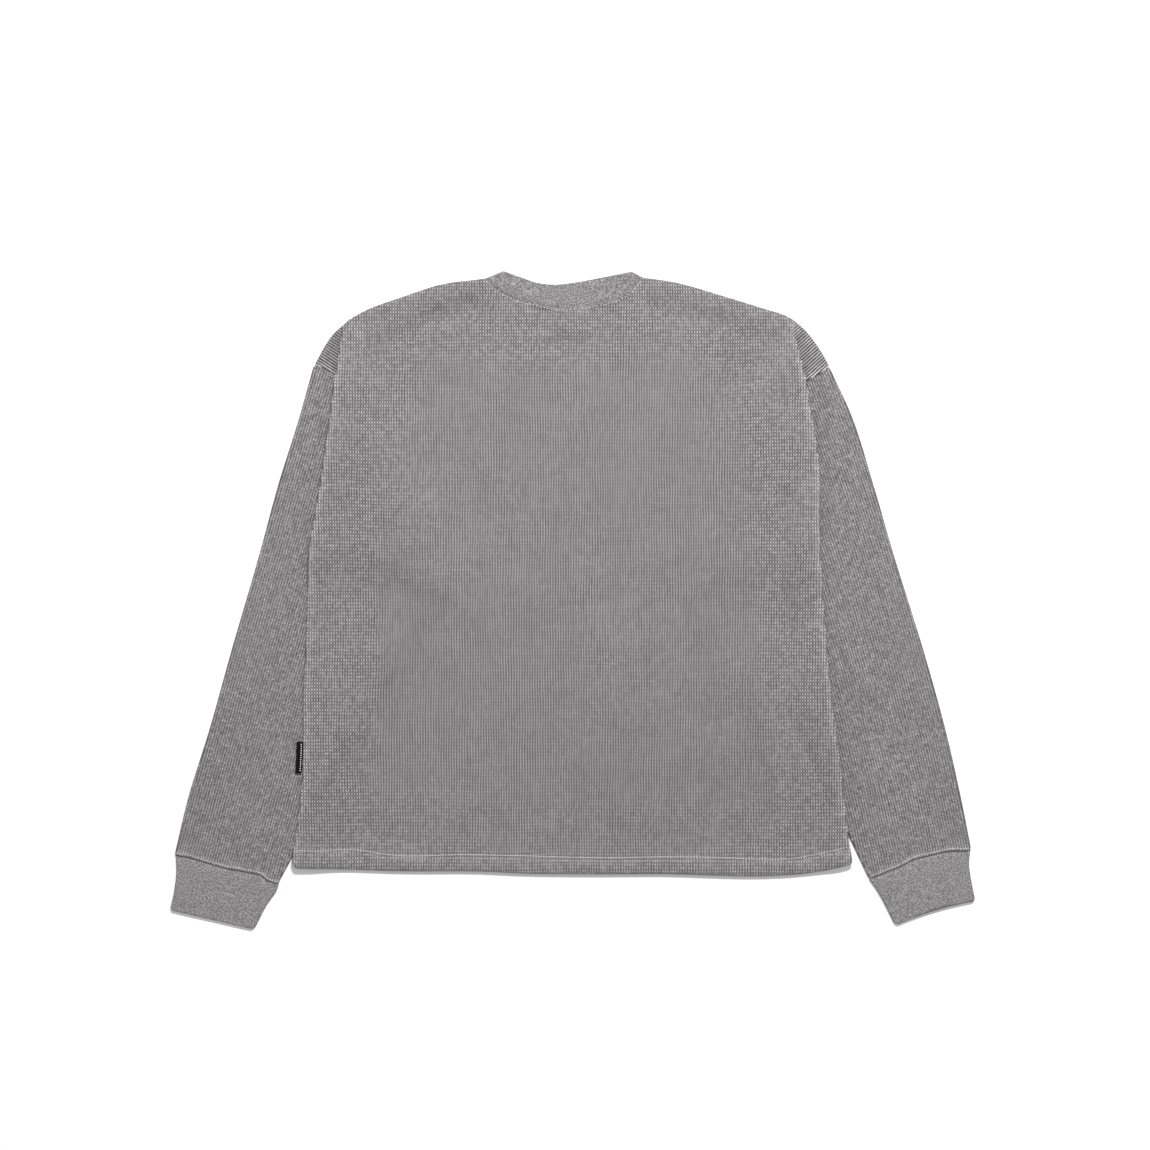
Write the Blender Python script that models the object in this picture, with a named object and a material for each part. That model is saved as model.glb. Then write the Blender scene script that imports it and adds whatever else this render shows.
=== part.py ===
"""A long-sleeved thermal top, laid flat on its front.

The body's two panels lie on each other. At each shoulder a pleat turns the sleeve down, so that it runs
beside and partly under the body. Metres, +Z up: X runs across the chest, Y from hem to neck, and the cloth
rests on Z = 0. "left" is the side towards -X.
"""

from collections import namedtuple

import bpy
import numpy as np

# ---- Cloth and stack ----

WAFFLE = 0.0016  # one layer of waffle knit
RIB = 0.0019  # one layer of the rib knit of collar and cuffs
HEM = 0.0026  # the turned hem, pressed
SEAM_GAP = 0.0003  # between two pieces along a seam
PLAY = 0.0004  # between two layers that only lie on each other
SLEEVE_STACK = 0.0038  # a flattened sleeve: two layers and the air between them
CUFF_STACK = 0.0042  # the same for a cuff
PLEAT_STACK = 0.0032  # the two hidden layers of a shoulder pleat
PANEL_STEP = 0.0022  # from the underside of the front panel to that of the back panel
AIR = 0.0007  # how far the back panel stands off the front panel, away from its edges
ROLL = 0.0013  # how far an edge rolls down towards the surface
PLEAT_ROLL = 0.0022  # and how much further where the pleat fills it
ROUNDING = 0.0006  # radius that an edge of one layer shows

# ---- Outline of the body ----

Place = namedtuple("Place", "x y")
Side = namedtuple("Side", "y left right")
SIDES = (
    Side(-0.2866, -0.3089, 0.3084),
    Side(-0.2514, -0.3040, 0.3025),
    Side(-0.1964, -0.2975, 0.2970),
    Side(-0.0974, -0.2960, 0.2844),
    Side(-0.0204, -0.2922, 0.2778),
    Side(0.0567, -0.2899, 0.2725),
    Side(0.1117, -0.2805, 0.2721),
    Side(0.1667, -0.2723, 0.2692),
    Side(0.2217, -0.2646, 0.2600),
    Side(0.2488, -0.2612, 0.2560),
    Side(0.2890, -0.2553, 0.2467),  # the pleat's top, where the fold edge starts
)
HEM_LINE = (
    Place(-0.3060, -0.2945),
    Place(-0.2376, -0.2962),
    Place(-0.1997, -0.2996),
    Place(-0.1018, -0.3006),
    Place(-0.0530, -0.3033),
    Place(0.0963, -0.3019),
    Place(0.2261, -0.3040),
    Place(0.2569, -0.3020),
    Place(0.2877, -0.2954),
    Place(0.3070, -0.2895),
)
SHOULDER_LEFT = (
    Place(-0.2545, 0.3036),
    Place(-0.2483, 0.3091),
    Place(-0.2327, 0.3185),
    Place(-0.1865, 0.3361),
    Place(-0.1458, 0.3493),
    Place(-0.0963, 0.3559),
)
BACK_NECK = (
    Place(-0.0963, 0.3559),
    Place(-0.0815, 0.3419),
    Place(-0.0648, 0.3330),
    Place(-0.0424, 0.3273),
    Place(-0.0177, 0.3222),
    Place(0.0088, 0.3235),
    Place(0.0328, 0.3271),
    Place(0.0593, 0.3369),
    Place(0.0776, 0.3570),
)
SHOULDER_RIGHT = (
    Place(0.0776, 0.3570),
    Place(0.1114, 0.3522),
    Place(0.1623, 0.3379),
    Place(0.2107, 0.3229),
    Place(0.2382, 0.3137),
    Place(0.2440, 0.3101),
)
# From above the pleat's top round to the armhole seam.
SHOULDER_END_LEFT = (
    SHOULDER_LEFT[0],
    Place(-0.2640, 0.2946),
    Place(-0.2738, 0.2805),
    Place(-0.2830, 0.2635),
    Place(-0.2861, 0.2585),
)
SHOULDER_END_RIGHT = (
    SHOULDER_RIGHT[-1],
    Place(0.2551, 0.3006),
    Place(0.2668, 0.2866),
    Place(0.2759, 0.2728),
    Place(0.2837, 0.2582),
)

FRONT_NECK_DROP = 0.110  # from the shoulder seam down to the front neck seam
NECK_POWER = 2.6  # 2 makes the front neckline a parabola, and more makes it fuller
COLLAR_LEFT_PEAK = Place(-0.0762, 0.3643)
COLLAR_RIGHT_PEAK = Place(0.0652, 0.3635)
COLLAR_EDGE = (
    COLLAR_LEFT_PEAK,
    Place(-0.0550, 0.3566),
    Place(-0.0402, 0.3515),
    Place(-0.0220, 0.3493),
    Place(0.0039, 0.3517),
    Place(0.0303, 0.3566),
    COLLAR_RIGHT_PEAK,
)
COLLAR_HEIGHT = 0.026
COLLAR_END = 0.0160  # share of its length that the collar turns down in, at each end

# ---- Sleeves and cuffs ----

# A section runs from the outer fold to the inner fold. Puff lifts it, and bow bends it towards the neck.
Section = namedtuple("Section", "outer_x outer_y inner_x inner_y puff bow")
SLEEVE_LEFT = (
    Section(-0.2861, 0.2582, -0.2239, 0.2239, 0.0, 0.0056),
    Section(-0.3020, 0.2005, -0.1960, 0.1480, 0.0003, 0.0040),
    Section(-0.3238, 0.1305, -0.1700, 0.0760, 0.0006, 0.0),
    Section(-0.3447, 0.0535, -0.1524, 0.0204, 0.0010, 0.0),
    Section(-0.3757, -0.0534, -0.2050, -0.0790, 0.0016, 0.0),
    Section(-0.4007, -0.1430, -0.2500, -0.1690, 0.0018, 0.0),
    Section(-0.4241, -0.2184, -0.2890, -0.2450, 0.0016, 0.0),
    Section(-0.4385, -0.2797, -0.3225, -0.3071, 0.0008, 0.0),
)
SLEEVE_RIGHT = (
    Section(0.2837, 0.2582, 0.2151, 0.2185, 0.0, 0.0),
    Section(0.3080, 0.2040, 0.1872, 0.1480, 0.0003, 0.0),
    Section(0.3310, 0.1310, 0.1612, 0.0760, 0.0006, 0.0),
    Section(0.3538, 0.0525, 0.1436, 0.0204, 0.0010, 0.0),
    Section(0.3867, -0.0534, 0.2017, -0.0790, 0.0016, 0.0),
    Section(0.4115, -0.1430, 0.2491, -0.1600, 0.0018, 0.0),
    Section(0.4285, -0.2184, 0.2960, -0.2410, 0.0016, 0.0),
    Section(0.4395, -0.2738, 0.3270, -0.3060, 0.0008, 0.0),
)
CUFF_LEFT = (
    Section(-0.4372, -0.2804, -0.3231, -0.3077, 0.0, 0.0),
    Section(-0.4363, -0.2930, -0.3252, -0.3165, 0.0003, 0.0),
    Section(-0.4385, -0.3160, -0.3372, -0.3345, 0.0003, 0.0),
    Section(-0.4437, -0.3400, -0.3509, -0.3614, 0.0, 0.0),
)
CUFF_RIGHT = (
    Section(0.4386, -0.2744, 0.3275, -0.3066, 0.0, 0.0),
    Section(0.4370, -0.2880, 0.3340, -0.3155, 0.0003, 0.0),
    Section(0.4398, -0.3090, 0.3430, -0.3310, 0.0003, 0.0),
    Section(0.4440, -0.3300, 0.3558, -0.3568, 0.0, 0.0),
)
PUFF_START, PUFF_END = 0.008, 0.034  # how far in from the outer fold a sleeve's puff is full, then ends
SLEEVE_CLEAR = 0.0012  # how far the armhole's end of a sleeve is moved down, to clear the bowed seam
SLEEVE_STATIONS, CUFF_STATIONS, PLEAT_STATIONS = 22, 7, 8
TUBE_ACROSS, TUBE_BEND = 9, 2  # points across a flattened tube, and in each quarter of its rounded edge
PLEAT_ACROSS = 7

# ---- Shoulder pleats ----

PLEAT_ROUNDING = 0.0014
# Sections from the fold edge to the inner crease.
PLEAT_LEFT = (
    Section(-0.2600, 0.2320, -0.2290, 0.2220, 0.0, 0.0),
    Section(-0.2660, 0.1900, -0.2115, 0.1830, 0.0, 0.0),
    Section(-0.2760, 0.1250, -0.1880, 0.1190, 0.0, 0.0),
    Section(-0.2860, 0.0700, -0.1580, 0.0330, 0.0, -0.0060),
)
PLEAT_RIGHT = (
    Section(0.2550, 0.2270, 0.2202, 0.2220, 0.0, 0.0),
    Section(0.2620, 0.1900, 0.2027, 0.1830, 0.0, 0.0),
    Section(0.2685, 0.1250, 0.1792, 0.1190, 0.0, 0.0),
    Section(0.2690, 0.0640, 0.1492, 0.0330, 0.0, -0.0060),
)

# ---- How panels climb over what lies under them ----

CLIMB = 0.030  # width of the slope
OVERHANG = 0.016  # the slope's top stays this far outside what it climbs over

# ---- Folds of the back panel: from one end to the other, half width and height ----

Fold = namedtuple("Fold", "x0 y0 x1 y1 reach height")
BACK_FOLDS = (
    Fold(-0.186, 0.056, -0.142, 0.012, 0.014, 0.0010),  # corner of the left pleat
    Fold(-0.270, 0.046, -0.200, 0.038, 0.012, -0.0008),  # hollow under the left pleat
    Fold(0.244, 0.105, 0.247, -0.010, 0.012, -0.0010),  # hollow beside the right edge
    Fold(0.262, 0.180, 0.266, 0.020, 0.010, 0.0012),  # rounded right edge
    Fold(0.238, -0.115, 0.262, -0.200, 0.016, -0.0012),  # low right hollow
    Fold(0.205, -0.090, 0.225, -0.210, 0.020, 0.0010),
    Fold(-0.215, -0.060, -0.262, -0.170, 0.016, 0.0012),  # over the left underarm edge
    Fold(-0.030, 0.302, 0.018, 0.293, 0.008, 0.0010),  # arc below the collar
    Fold(-0.185, 0.317, -0.115, 0.336, 0.010, -0.0007),  # inside the left shoulder
    Fold(0.110, 0.334, 0.225, 0.292, 0.012, -0.0007),  # inside the right shoulder
)

# ---- Side label ----

LABEL_TOP, LABEL_LENGTH = -0.1542, 0.0350
LABEL_REACH = 0.0072  # how far it stands out of the seam
LABEL_LEAN = 0.0008  # its lower end stands further out by this much
LABEL_HEIGHT = SLEEVE_STACK + 0.0016
LABEL_THICKNESS, LABEL_ROUNDING = 0.0011, 0.0003

# ---- Finishes: colour, roughness ----

Finish = namedtuple("Finish", "name red green blue roughness")
WAFFLE_KNIT = Finish("waffle_knit", 0.262, 0.250, 0.254, 0.95)
RIB_KNIT = Finish("rib_knit", 0.305, 0.290, 0.296, 0.95)
WOVEN_TAPE = Finish("woven_tape", 0.010, 0.010, 0.011, 0.80)

# ---- Grid of the panels ----

HEM_DEPTH = 0.021
SHOULDER_LENGTH = 0.166  # from the shoulder's end to the neck
PANEL_LENGTH = 0.592  # from the hem to the shoulder's end
PLEAT_TOP_DROP = 0.0185  # from the shoulder's end down to the pleat's top
SIDE_INSETS = (0.0, 0.003, 0.007, 0.014)  # columns next to a side edge
TOP_INSETS = (0.0, 0.003, 0.007, 0.011)  # rows next to the shoulder line
HEM_INSETS = (0.0, 0.003, HEM_DEPTH - 0.003, HEM_DEPTH + 0.001, 0.032)  # rows of the hem
SHOULDER_STEPS, NECK_STEPS, BODY_STEPS, STRIP_STEPS = 8, 12, 24, 3
STRIP_COVER = 0.033  # width of the shoulder strip along the armhole seam, with what lies under the fold
STRIP_SHOWN = 0.8  # share of that width outside the fold edge
# For each row of a strip, how far outside the fold edge it ends. The front panel's strip goes on under it.
BACK_STRIP_ENDS = (0.0, 0.0010, 0.0005, 0.0)
FRONT_STRIP_ENDS = (0.0, -0.0014, -0.0018, 0.0)
BACK_SMOOTH_ROWS, BACK_SMOOTH_COLUMNS = slice(5, -3), slice(2, -2)  # where the back stands off the front

# ---- Neck ----

# The back hangs into the lower front neckline: how far, and the oval that it does so in.
NECK_SAG, SAG_DROP, SAG_REACH = 0.0014, 0.045, (0.062, 0.042)
SAG_CORE, SAG_FADE = 0.35, 0.65


def smooth(keys, values, at):
    """Values at the places in at, on a smooth curve through one value, or one row of values, for each key."""
    keys, values, at = (np.asarray(given, float) for given in (keys, values, at))
    slopes = np.gradient(values, keys, axis=0)
    i = np.clip(np.searchsorted(keys, at, "right") - 1, 0, len(keys) - 2)
    width = keys[i + 1] - keys[i]
    t = (at - keys[i]) / width
    if values.ndim > 1:
        t, width = t[:, None], width[:, None]
    start = (2 * t**3 - 3 * t**2 + 1) * values[i] + (t**3 - 2 * t**2 + t) * width * slopes[i]
    end = (3 * t**2 - 2 * t**3) * values[i + 1] + (t**3 - t**2) * width * slopes[i + 1]
    return start + end


def along(rows, shares):
    """Rows at the given shares of the way along a smooth curve through the given rows."""
    rows = np.asarray(rows, float)
    steps = np.hypot(*np.diff(rows[:, :2], axis=0).T)
    way = np.concatenate([[0], np.cumsum(steps)])
    return smooth(way / way[-1], rows, shares)


def soft_step(value, start, width):
    """0 up to start and 1 from start + width, with a smooth slope between them."""
    t = np.clip((value - start) / width, 0, 1)
    return t * t * (3 - 2 * t)


def to_segment(points, start, end):
    """Distance of each point to the straight line from start to end."""
    start, way = np.asarray(start), np.subtract(end, start)
    share = np.clip(((points - start) @ way) / (way @ way), 0, 1)
    return np.linalg.norm(points - start - share[..., None] * way, axis=-1)


def depth_in(points, corners):
    """Distance of each point to the outline through the corners, above 0 inside it."""
    nearest = np.full(points.shape[:-1], np.inf)
    inside = np.zeros(points.shape[:-1], bool)
    for a, b in zip(corners, np.roll(corners, -1, axis=0)):
        nearest = np.minimum(nearest, to_segment(points, a, b))
        if a[1] != b[1]:
            crossing = a[0] + (points[..., 1] - a[1]) * (b[0] - a[0]) / (b[1] - a[1])
            inside ^= ((points[..., 1] < a[1]) != (points[..., 1] < b[1])) & (points[..., 0] < crossing)
    return np.where(inside, nearest, -nearest)


def outline(sections):
    """Corners of the shape that a table of sections covers."""
    rows = np.asarray(sections)
    across = np.linspace(0, 1, 6)[1:-1]
    first, last = section_places(sections[0], across), section_places(sections[-1], across)
    return np.vstack([rows[:, 0:2], last, rows[::-1, 2:4], first[::-1]])


def climb(points):
    """How far the front panel is lifted by the sleeves, and by the shoulder pleats as well."""
    lift = np.zeros(points.shape[:-1])
    for sections, height in (
        (SLEEVE_LEFT, SLEEVE_STACK + PLAY),
        (SLEEVE_RIGHT, SLEEVE_STACK + PLAY),
        (PLEAT_LEFT, PLEAT_STACK + PLAY),
        (PLEAT_RIGHT, PLEAT_STACK + PLAY),
    ):
        depth = depth_in(points, outline(sections))
        lift += height * soft_step(depth, -OVERHANG - CLIMB, CLIMB)
    return lift


def fullness(points):
    """How far the back panel stands off the front panel: some air, raised or lowered by each fold."""
    height = np.full(points.shape[:-1], AIR)
    for fold in BACK_FOLDS:
        away = to_segment(points, (fold.x0, fold.y0), (fold.x1, fold.y1))
        height += fold.height * np.exp(-((away / fold.reach) ** 2))
    return np.maximum(height, 0)


def neck_sag(points):
    """How far the back hangs into the neckline, where no front panel lies under it."""
    centre = np.array([(BACK_NECK[0].x + BACK_NECK[-1].x) / 2, COLLAR_LEFT_PEAK.y - SAG_DROP])
    away = np.linalg.norm((points - centre) / SAG_REACH, axis=-1)
    return NECK_SAG * (1 - soft_step(away, SAG_CORE, SAG_FADE))


def front_neck(drop=FRONT_NECK_DROP, left=BACK_NECK[0], right=BACK_NECK[-1]):
    """The front neckline, deepest in the middle and steep at the shoulder seams, as evenly spaced places."""
    share = np.linspace(-1, 1, 25)
    x = (left.x + right.x) / 2 + share * (right.x - left.x) / 2
    level = np.linspace(left.y, right.y, len(share))
    return np.column_stack([x, level - drop * (1 - np.abs(share) ** NECK_POWER)])


# ---- Closed walls ----


def add_object(name, points, faces, finish):
    """A mesh object of one closed body in the scene, with its finish."""
    mesh = bpy.data.meshes.new(name)
    mesh.from_pydata([tuple(map(float, p)) for p in points], [], [tuple(map(int, f)) for f in faces])
    mesh.validate()
    mesh.materials.append(material(finish))
    mesh.shade_smooth()
    mesh.set_sharp_from_angle(angle=np.radians(40))
    piece = bpy.data.objects.new(name, mesh)
    bpy.context.scene.collection.objects.link(piece)
    return piece


def material(finish):
    """The finish's material, made once."""
    made = bpy.data.materials.get(finish.name)
    if made is None:
        made = bpy.data.materials.new(finish.name)
        made.use_nodes = True
        shader = made.node_tree.nodes["Principled BSDF"]
        shader.inputs["Base Color"].default_value = (finish.red, finish.green, finish.blue, 1)
        shader.inputs["Roughness"].default_value = finish.roughness
        shader.inputs["Metallic"].default_value = 0
    return made


def edge_loop_data(quads, plan):
    """The sheet's edges that belong to one quad only, and the outward direction at each of their points."""
    once = {}
    for quad in quads:
        for a, b in zip(quad, (*quad[1:], quad[0])):
            if (b, a) in once:
                del once[b, a]
            else:
                once[a, b] = True
    outward = {}
    for a, b in once:
        way = plan[b] - plan[a]
        side = np.array([way[1], -way[0]]) / np.hypot(*way)
        for point in (a, b):
            outward[point] = outward.get(point, 0) + side
    return list(once), {point: side / np.hypot(*side) for point, side in outward.items()}


def cloth_wall(name, plan, quads, low, high, finish, rounding=ROUNDING):
    """One layer of cloth over a plan of quads that run anticlockwise, with rounded edges."""
    plan, low, high = np.asarray(plan), np.asarray(low), np.asarray(high)
    edges, outward = edge_loop_data(quads, plan)
    inner = plan.copy()
    for point, side in outward.items():
        inner[point] -= side * rounding
    count = len(plan)
    points = [*np.column_stack([inner, low]), *np.column_stack([inner, high])]
    middle = {}
    for point in outward:
        middle[point] = len(points)
        points.append((*plan[point], (low[point] + high[point]) / 2))
    faces = []
    for a, b, c, d in quads:
        faces += [(a + count, b + count, c + count), (a + count, c + count, d + count)]
        faces += [(c, b, a), (d, c, a)]
    for a, b in edges:
        faces += [(a, b, middle[b], middle[a]), (middle[a], middle[b], b + count, a + count)]
    return add_object(name, points, faces, finish)


def ring_wall(name, outer, inner, finish):
    """An open tube through rings from one end to the other, all with the same number of points."""
    outer, inner = np.asarray(outer), np.asarray(inner)
    ends, around = outer.shape[:2]
    points = [*outer.reshape(-1, 3), *inner.reshape(-1, 3)]
    shift = ends * around
    faces = []
    for k in range(around):
        after = (k + 1) % around
        for end in range(ends - 1):
            a, b = end * around + k, end * around + after
            c, d = b + around, a + around
            faces += [(a, b, c), (a, c, d)]
            faces += [(shift + c, shift + b, shift + a), (shift + d, shift + c, shift + a)]
        last = (ends - 1) * around
        faces.append((k, shift + k, shift + after, after))
        faces.append((last + after, shift + last + after, shift + last + k, last + k))
    return add_object(name, points, faces, finish)


# ---- Panels ----


def inset_shares(length, insets, steps):
    """Shares of a length at the insets from its start, then at even steps."""
    start = np.asarray(insets) / length
    return np.concatenate([start[:-1], np.linspace(start[-1], 1, steps + 1)])


def body_grid(neck):
    """Plan of a body panel: rows from hem to shoulder line, columns from left to right."""
    shares = inset_shares(SHOULDER_LENGTH, SIDE_INSETS, SHOULDER_STEPS)
    left = along(SHOULDER_LEFT, shares)
    right = along(SHOULDER_RIGHT, 1 - shares[::-1])
    steps = np.linspace(0, 1, NECK_STEPS + 1)
    top = np.vstack([left, along(neck, steps)[1:-1], right])
    straight = np.vstack([left, along(BACK_NECK, steps)[1:-1], right])
    across = (straight[:, 0] - straight[0, 0]) / (straight[-1, 0] - straight[0, 0])
    pleat_share = 1 - PLEAT_TOP_DROP / PANEL_LENGTH
    hem = np.asarray(HEM_INSETS) / PANEL_LENGTH
    rows = np.concatenate([hem[:-1], np.linspace(hem[-1], pleat_share, BODY_STEPS + 1),
                           1 - np.asarray(TOP_INSETS[::-1]) / PANEL_LENGTH])
    hem_line = np.asarray(HEM_LINE)
    bottom_x = hem_line[0, 0] + across * (hem_line[-1, 0] - hem_line[0, 0])
    bottom = np.column_stack([bottom_x, smooth(hem_line[:, 0], hem_line[:, 1], bottom_x)])
    ends = (side_line(rows, pleat_share, "left", bottom[0], top[0]),
            side_line(rows, pleat_share, "right", bottom[-1], top[-1]))
    u, v = across[None, :, None], rows[:, None, None]
    corners = (1 - v) * ((1 - u) * bottom[0] + u * bottom[-1]) + v * ((1 - u) * top[0] + u * top[-1])
    return (1 - v) * bottom + v * top + (1 - u) * ends[0][:, None] + u * ends[1][:, None] - corners


def side_line(rows, pleat_share, side, corner, shoulder_end):
    """The panel's side: up the fold edge to the pleat's top, then straight on to the outline."""
    sides = np.array([(row.y, getattr(row, side)) for row in SIDES])
    y = corner[1] + np.minimum(rows / pleat_share, 1) * (sides[-1, 0] - corner[1])
    x = smooth(sides[:, 0], sides[:, 1], np.maximum(y, sides[0, 0]))
    x[0] = corner[0]
    beyond = np.clip((rows - pleat_share) / (1 - pleat_share), 0, 1)[:, None]
    return np.column_stack([x, y]) * (1 - beyond) + np.asarray(shoulder_end) * beyond


def section_places(section, shares):
    """Places across a section at the given shares of its width, on its bow."""
    shares = np.asarray(shares)
    start, end = (section.outer_x, section.outer_y), (section.inner_x, section.inner_y)
    places = start + shares[:, None] * np.subtract(end, start)
    places[:, 1] += section.bow * np.sin(np.pi * np.sqrt(shares))
    return places


def section_width(section):
    return np.hypot(section.inner_x - section.outer_x, section.inner_y - section.outer_y)


def strip_grid(top_row, shoulder_end, armhole, row_ends):
    """Plan of the shoulder outside the fold edge: from the pleat's top down to the armhole seam.

    top_row runs from the outline in to the pleat's top, and armhole is the sleeve's first section. Just above
    that seam the strip goes on under the fold edge."""
    rows = np.linspace(0, 1, STRIP_STEPS + 1)
    outer = along(shoulder_end, rows)
    seam_share = STRIP_COVER / section_width(armhole)
    fold_end = section_places(armhole, [seam_share * STRIP_SHOWN])[0]
    inner = top_row[-1] + rows[:, None] * (fold_end - top_row[-1])
    inner[:, 0] += np.sign(outer[0, 0]) * np.asarray(row_ends)
    insets = np.linalg.norm(top_row - top_row[0], axis=1)
    plan = [top_row]
    for row, (out, into) in enumerate(zip(outer[1:], inner[1:]), start=1):
        first, second = insets[1:3] / np.linalg.norm(into - out)
        shares = np.array([0, first, second, (1 + second) / 2, 1])
        if row == STRIP_STEPS:
            plan.append(section_places(armhole, shares * seam_share))
        else:
            plan.append(out + shares[:, None] * (into - out))
    return np.array(plan)


class Panel:
    """Points of one body panel, gathered from its grid and its two shoulder strips."""

    def __init__(self):
        self.plan, self.low, self.high, self.quads = [], [], [], []
        self.known = {}

    def point(self, place, low, high):
        """The number of the point at this place. A place that is known keeps its heights."""
        key = tuple(np.round(place, 6))
        if key not in self.known:
            self.known[key] = len(self.plan)
            self.plan.append(place)
            self.low.append(low)
            self.high.append(high)
        return self.known[key]

    def patch(self, plan, low, high, used):
        """Adds the quads of a grid for which used(row, column) is true, turned anticlockwise."""
        rows, columns = plan.shape[:2]
        for i in range(rows - 1):
            for j in range(columns - 1):
                if used(i, j):
                    corners = ((i, j), (i, j + 1), (i + 1, j + 1), (i + 1, j))
                    quad = [self.point(plan[c], low[c], high[c]) for c in corners]
                    (x0, y0), (x1, y1), (x2, y2) = (plan[c] for c in corners[:3])
                    turn = (x1 - x0) * (y2 - y0) - (x2 - x0) * (y1 - y0)
                    self.quads.append(tuple(quad if turn > 0 else quad[::-1]))


def is_neck(column, columns):
    """Whether the quads right of this column lie under the neckline."""
    side = len(SIDE_INSETS) - 1 + SHOULDER_STEPS
    return side <= column < columns - 1 - side


def edge_roll(plan, lift):
    """How far the back panel's edge rolls down: at the sides below the pleat, and along the shoulders."""
    rows, columns = plan.shape[:2]
    roll = np.zeros((rows, columns))
    below_pleat = rows - 1 - len(TOP_INSETS)
    full = SLEEVE_STACK + PLAY
    for column in (0, columns - 1):
        climbed = lift[:below_pleat, column]
        roll[:below_pleat, column] = ROLL * soft_step(climbed, 0.2 * full, 0.8 * full)
        roll[:below_pleat, column] += PLEAT_ROLL * soft_step(climbed, full, PLEAT_STACK)
    shoulder = [j for j in range(columns) if not (is_neck(j, columns) or is_neck(j - 1, columns))]
    roll[-1, shoulder] = ROLL
    roll[0] = np.maximum(roll[0], ROLL * 0.5)
    return roll


def hem_extra(plan):
    """How much thicker than one layer each row of a panel is."""
    turned = len(HEM_INSETS) - 2
    extra = np.zeros(plan.shape[:2])
    extra[:turned] = HEM - WAFFLE
    return extra


def strip_sides(grid):
    """For each shoulder: the strip's first row, from the outline to the pleat's top, and its tables."""
    top = len(TOP_INSETS)
    return (
        (grid[: -top - 2 : -1, 0], SHOULDER_END_LEFT, SLEEVE_LEFT[0]),
        (grid[: -top - 2 : -1, -1], SHOULDER_END_RIGHT, SLEEVE_RIGHT[0]),
    )


def make_back_panel():
    """The panel that shows, over the front panel and round its edges."""
    grid = body_grid(BACK_NECK)
    lift = climb(grid)
    roll = edge_roll(grid, lift)
    extra = hem_extra(grid)
    inner = np.zeros(grid.shape[:2])
    inner[BACK_SMOOTH_ROWS, BACK_SMOOTH_COLUMNS] = 1
    low = PANEL_STEP + lift + extra - roll + inner * fullness(grid) - neck_sag(grid)
    panel = Panel()
    panel.patch(grid, low, low + WAFFLE + extra, lambda i, j: True)
    for top_row, shoulder_end, armhole in strip_sides(grid):
        plan = strip_grid(top_row, shoulder_end, armhole, BACK_STRIP_ENDS)
        low = np.full(plan.shape[:2], PANEL_STEP)
        low[:, 0] -= ROLL
        panel.patch(plan, low, low + WAFFLE, lambda i, j: True)
    return cloth_wall("back_panel", panel.plan, panel.quads, panel.low, panel.high, WAFFLE_KNIT)


def make_front_panel():
    """The panel on the surface: a row or column of the grid smaller than the back at each edge."""
    grid = body_grid(front_neck())
    rows, columns = grid.shape[:2]
    top = len(TOP_INSETS)

    def used(i, j):
        if j in (0, columns - 2):
            return rows - 1 - top <= i < rows - 2
        if i == rows - 2:
            return is_neck(j, columns)
        return i > 0

    low = climb(grid)
    panel = Panel()
    panel.patch(grid, low, low + WAFFLE + hem_extra(grid), used)
    for top_row, shoulder_end, armhole in strip_sides(grid):
        plan = strip_grid(top_row, shoulder_end, armhole, FRONT_STRIP_ENDS)[:, 1:]
        low = np.zeros(plan.shape[:2])
        panel.patch(plan, low, low + WAFFLE, lambda i, j: True)
    return cloth_wall("front_panel", panel.plan, panel.quads, panel.low, panel.high, WAFFLE_KNIT)


# ---- Flattened tubes ----


def flat_loop(width, height, inset, puff):
    """A flattened tube's section as distances across and heights, clockwise from the outer fold's middle.

    inset draws the loop in by the wall's thickness, and puff lifts its top next to the outer fold."""
    low, top = inset, height - inset
    radius = (top - low) / 2
    bend = np.linspace(0, np.pi / 2, TUBE_BEND + 1)[:-1]
    start, end = inset + radius, width - inset - radius
    run = np.linspace(start, end, TUBE_ACROSS)
    middle = (low + top) / 2
    flat = np.zeros(TUBE_ACROSS)
    distance = np.concatenate([start - radius * np.cos(bend), run, end + radius * np.sin(bend[1:]),
                               end + radius * np.cos(bend), run[::-1], start - radius * np.sin(bend[1:])])
    level = np.concatenate([middle + radius * np.sin(bend), flat + top, middle + radius * np.cos(bend[1:]),
                            middle - radius * np.sin(bend), flat + low, middle - radius * np.cos(bend[1:])])
    full = soft_step(distance, 0, PUFF_START) * (1 - soft_step(distance, PUFF_END / 2, PUFF_END / 2))
    return distance, level + puff * full * (level - low) / (top - low)


def sections_along(sections, stations):
    """Evenly spaced sections along a table of them."""
    return [Section(*row) for row in along(sections, np.linspace(0, 1, stations))]


def make_tube(name, sections, stations, height, wall, finish):
    """A flattened tube of cloth through a table of sections, open at both ends."""
    outer, inner = [], []
    for section in sections_along(sections, stations):
        width = section_width(section)
        for rings, inset in ((outer, 0), (inner, wall)):
            distance, level = flat_loop(width, height, inset, section.puff)
            rings.append(np.column_stack([section_places(section, distance / width), level]))
    if sections[0].outer_x < sections[0].inner_x:
        outer, inner = outer[::-1], inner[::-1]
    return ring_wall(name, outer, inner, finish)


def make_sleeve(name, sections):
    """A sleeve, with its first section moved down to clear the armhole seam."""
    first = sections[0]
    cleared = first._replace(outer_y=first.outer_y - SLEEVE_CLEAR, inner_y=first.inner_y - SLEEVE_CLEAR)
    return make_tube(name, (cleared, *sections[1:]), SLEEVE_STATIONS, SLEEVE_STACK, WAFFLE, WAFFLE_KNIT)


def make_cuff(name, sections):
    return make_tube(name, sections, CUFF_STATIONS, CUFF_STACK, RIB, RIB_KNIT)


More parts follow.
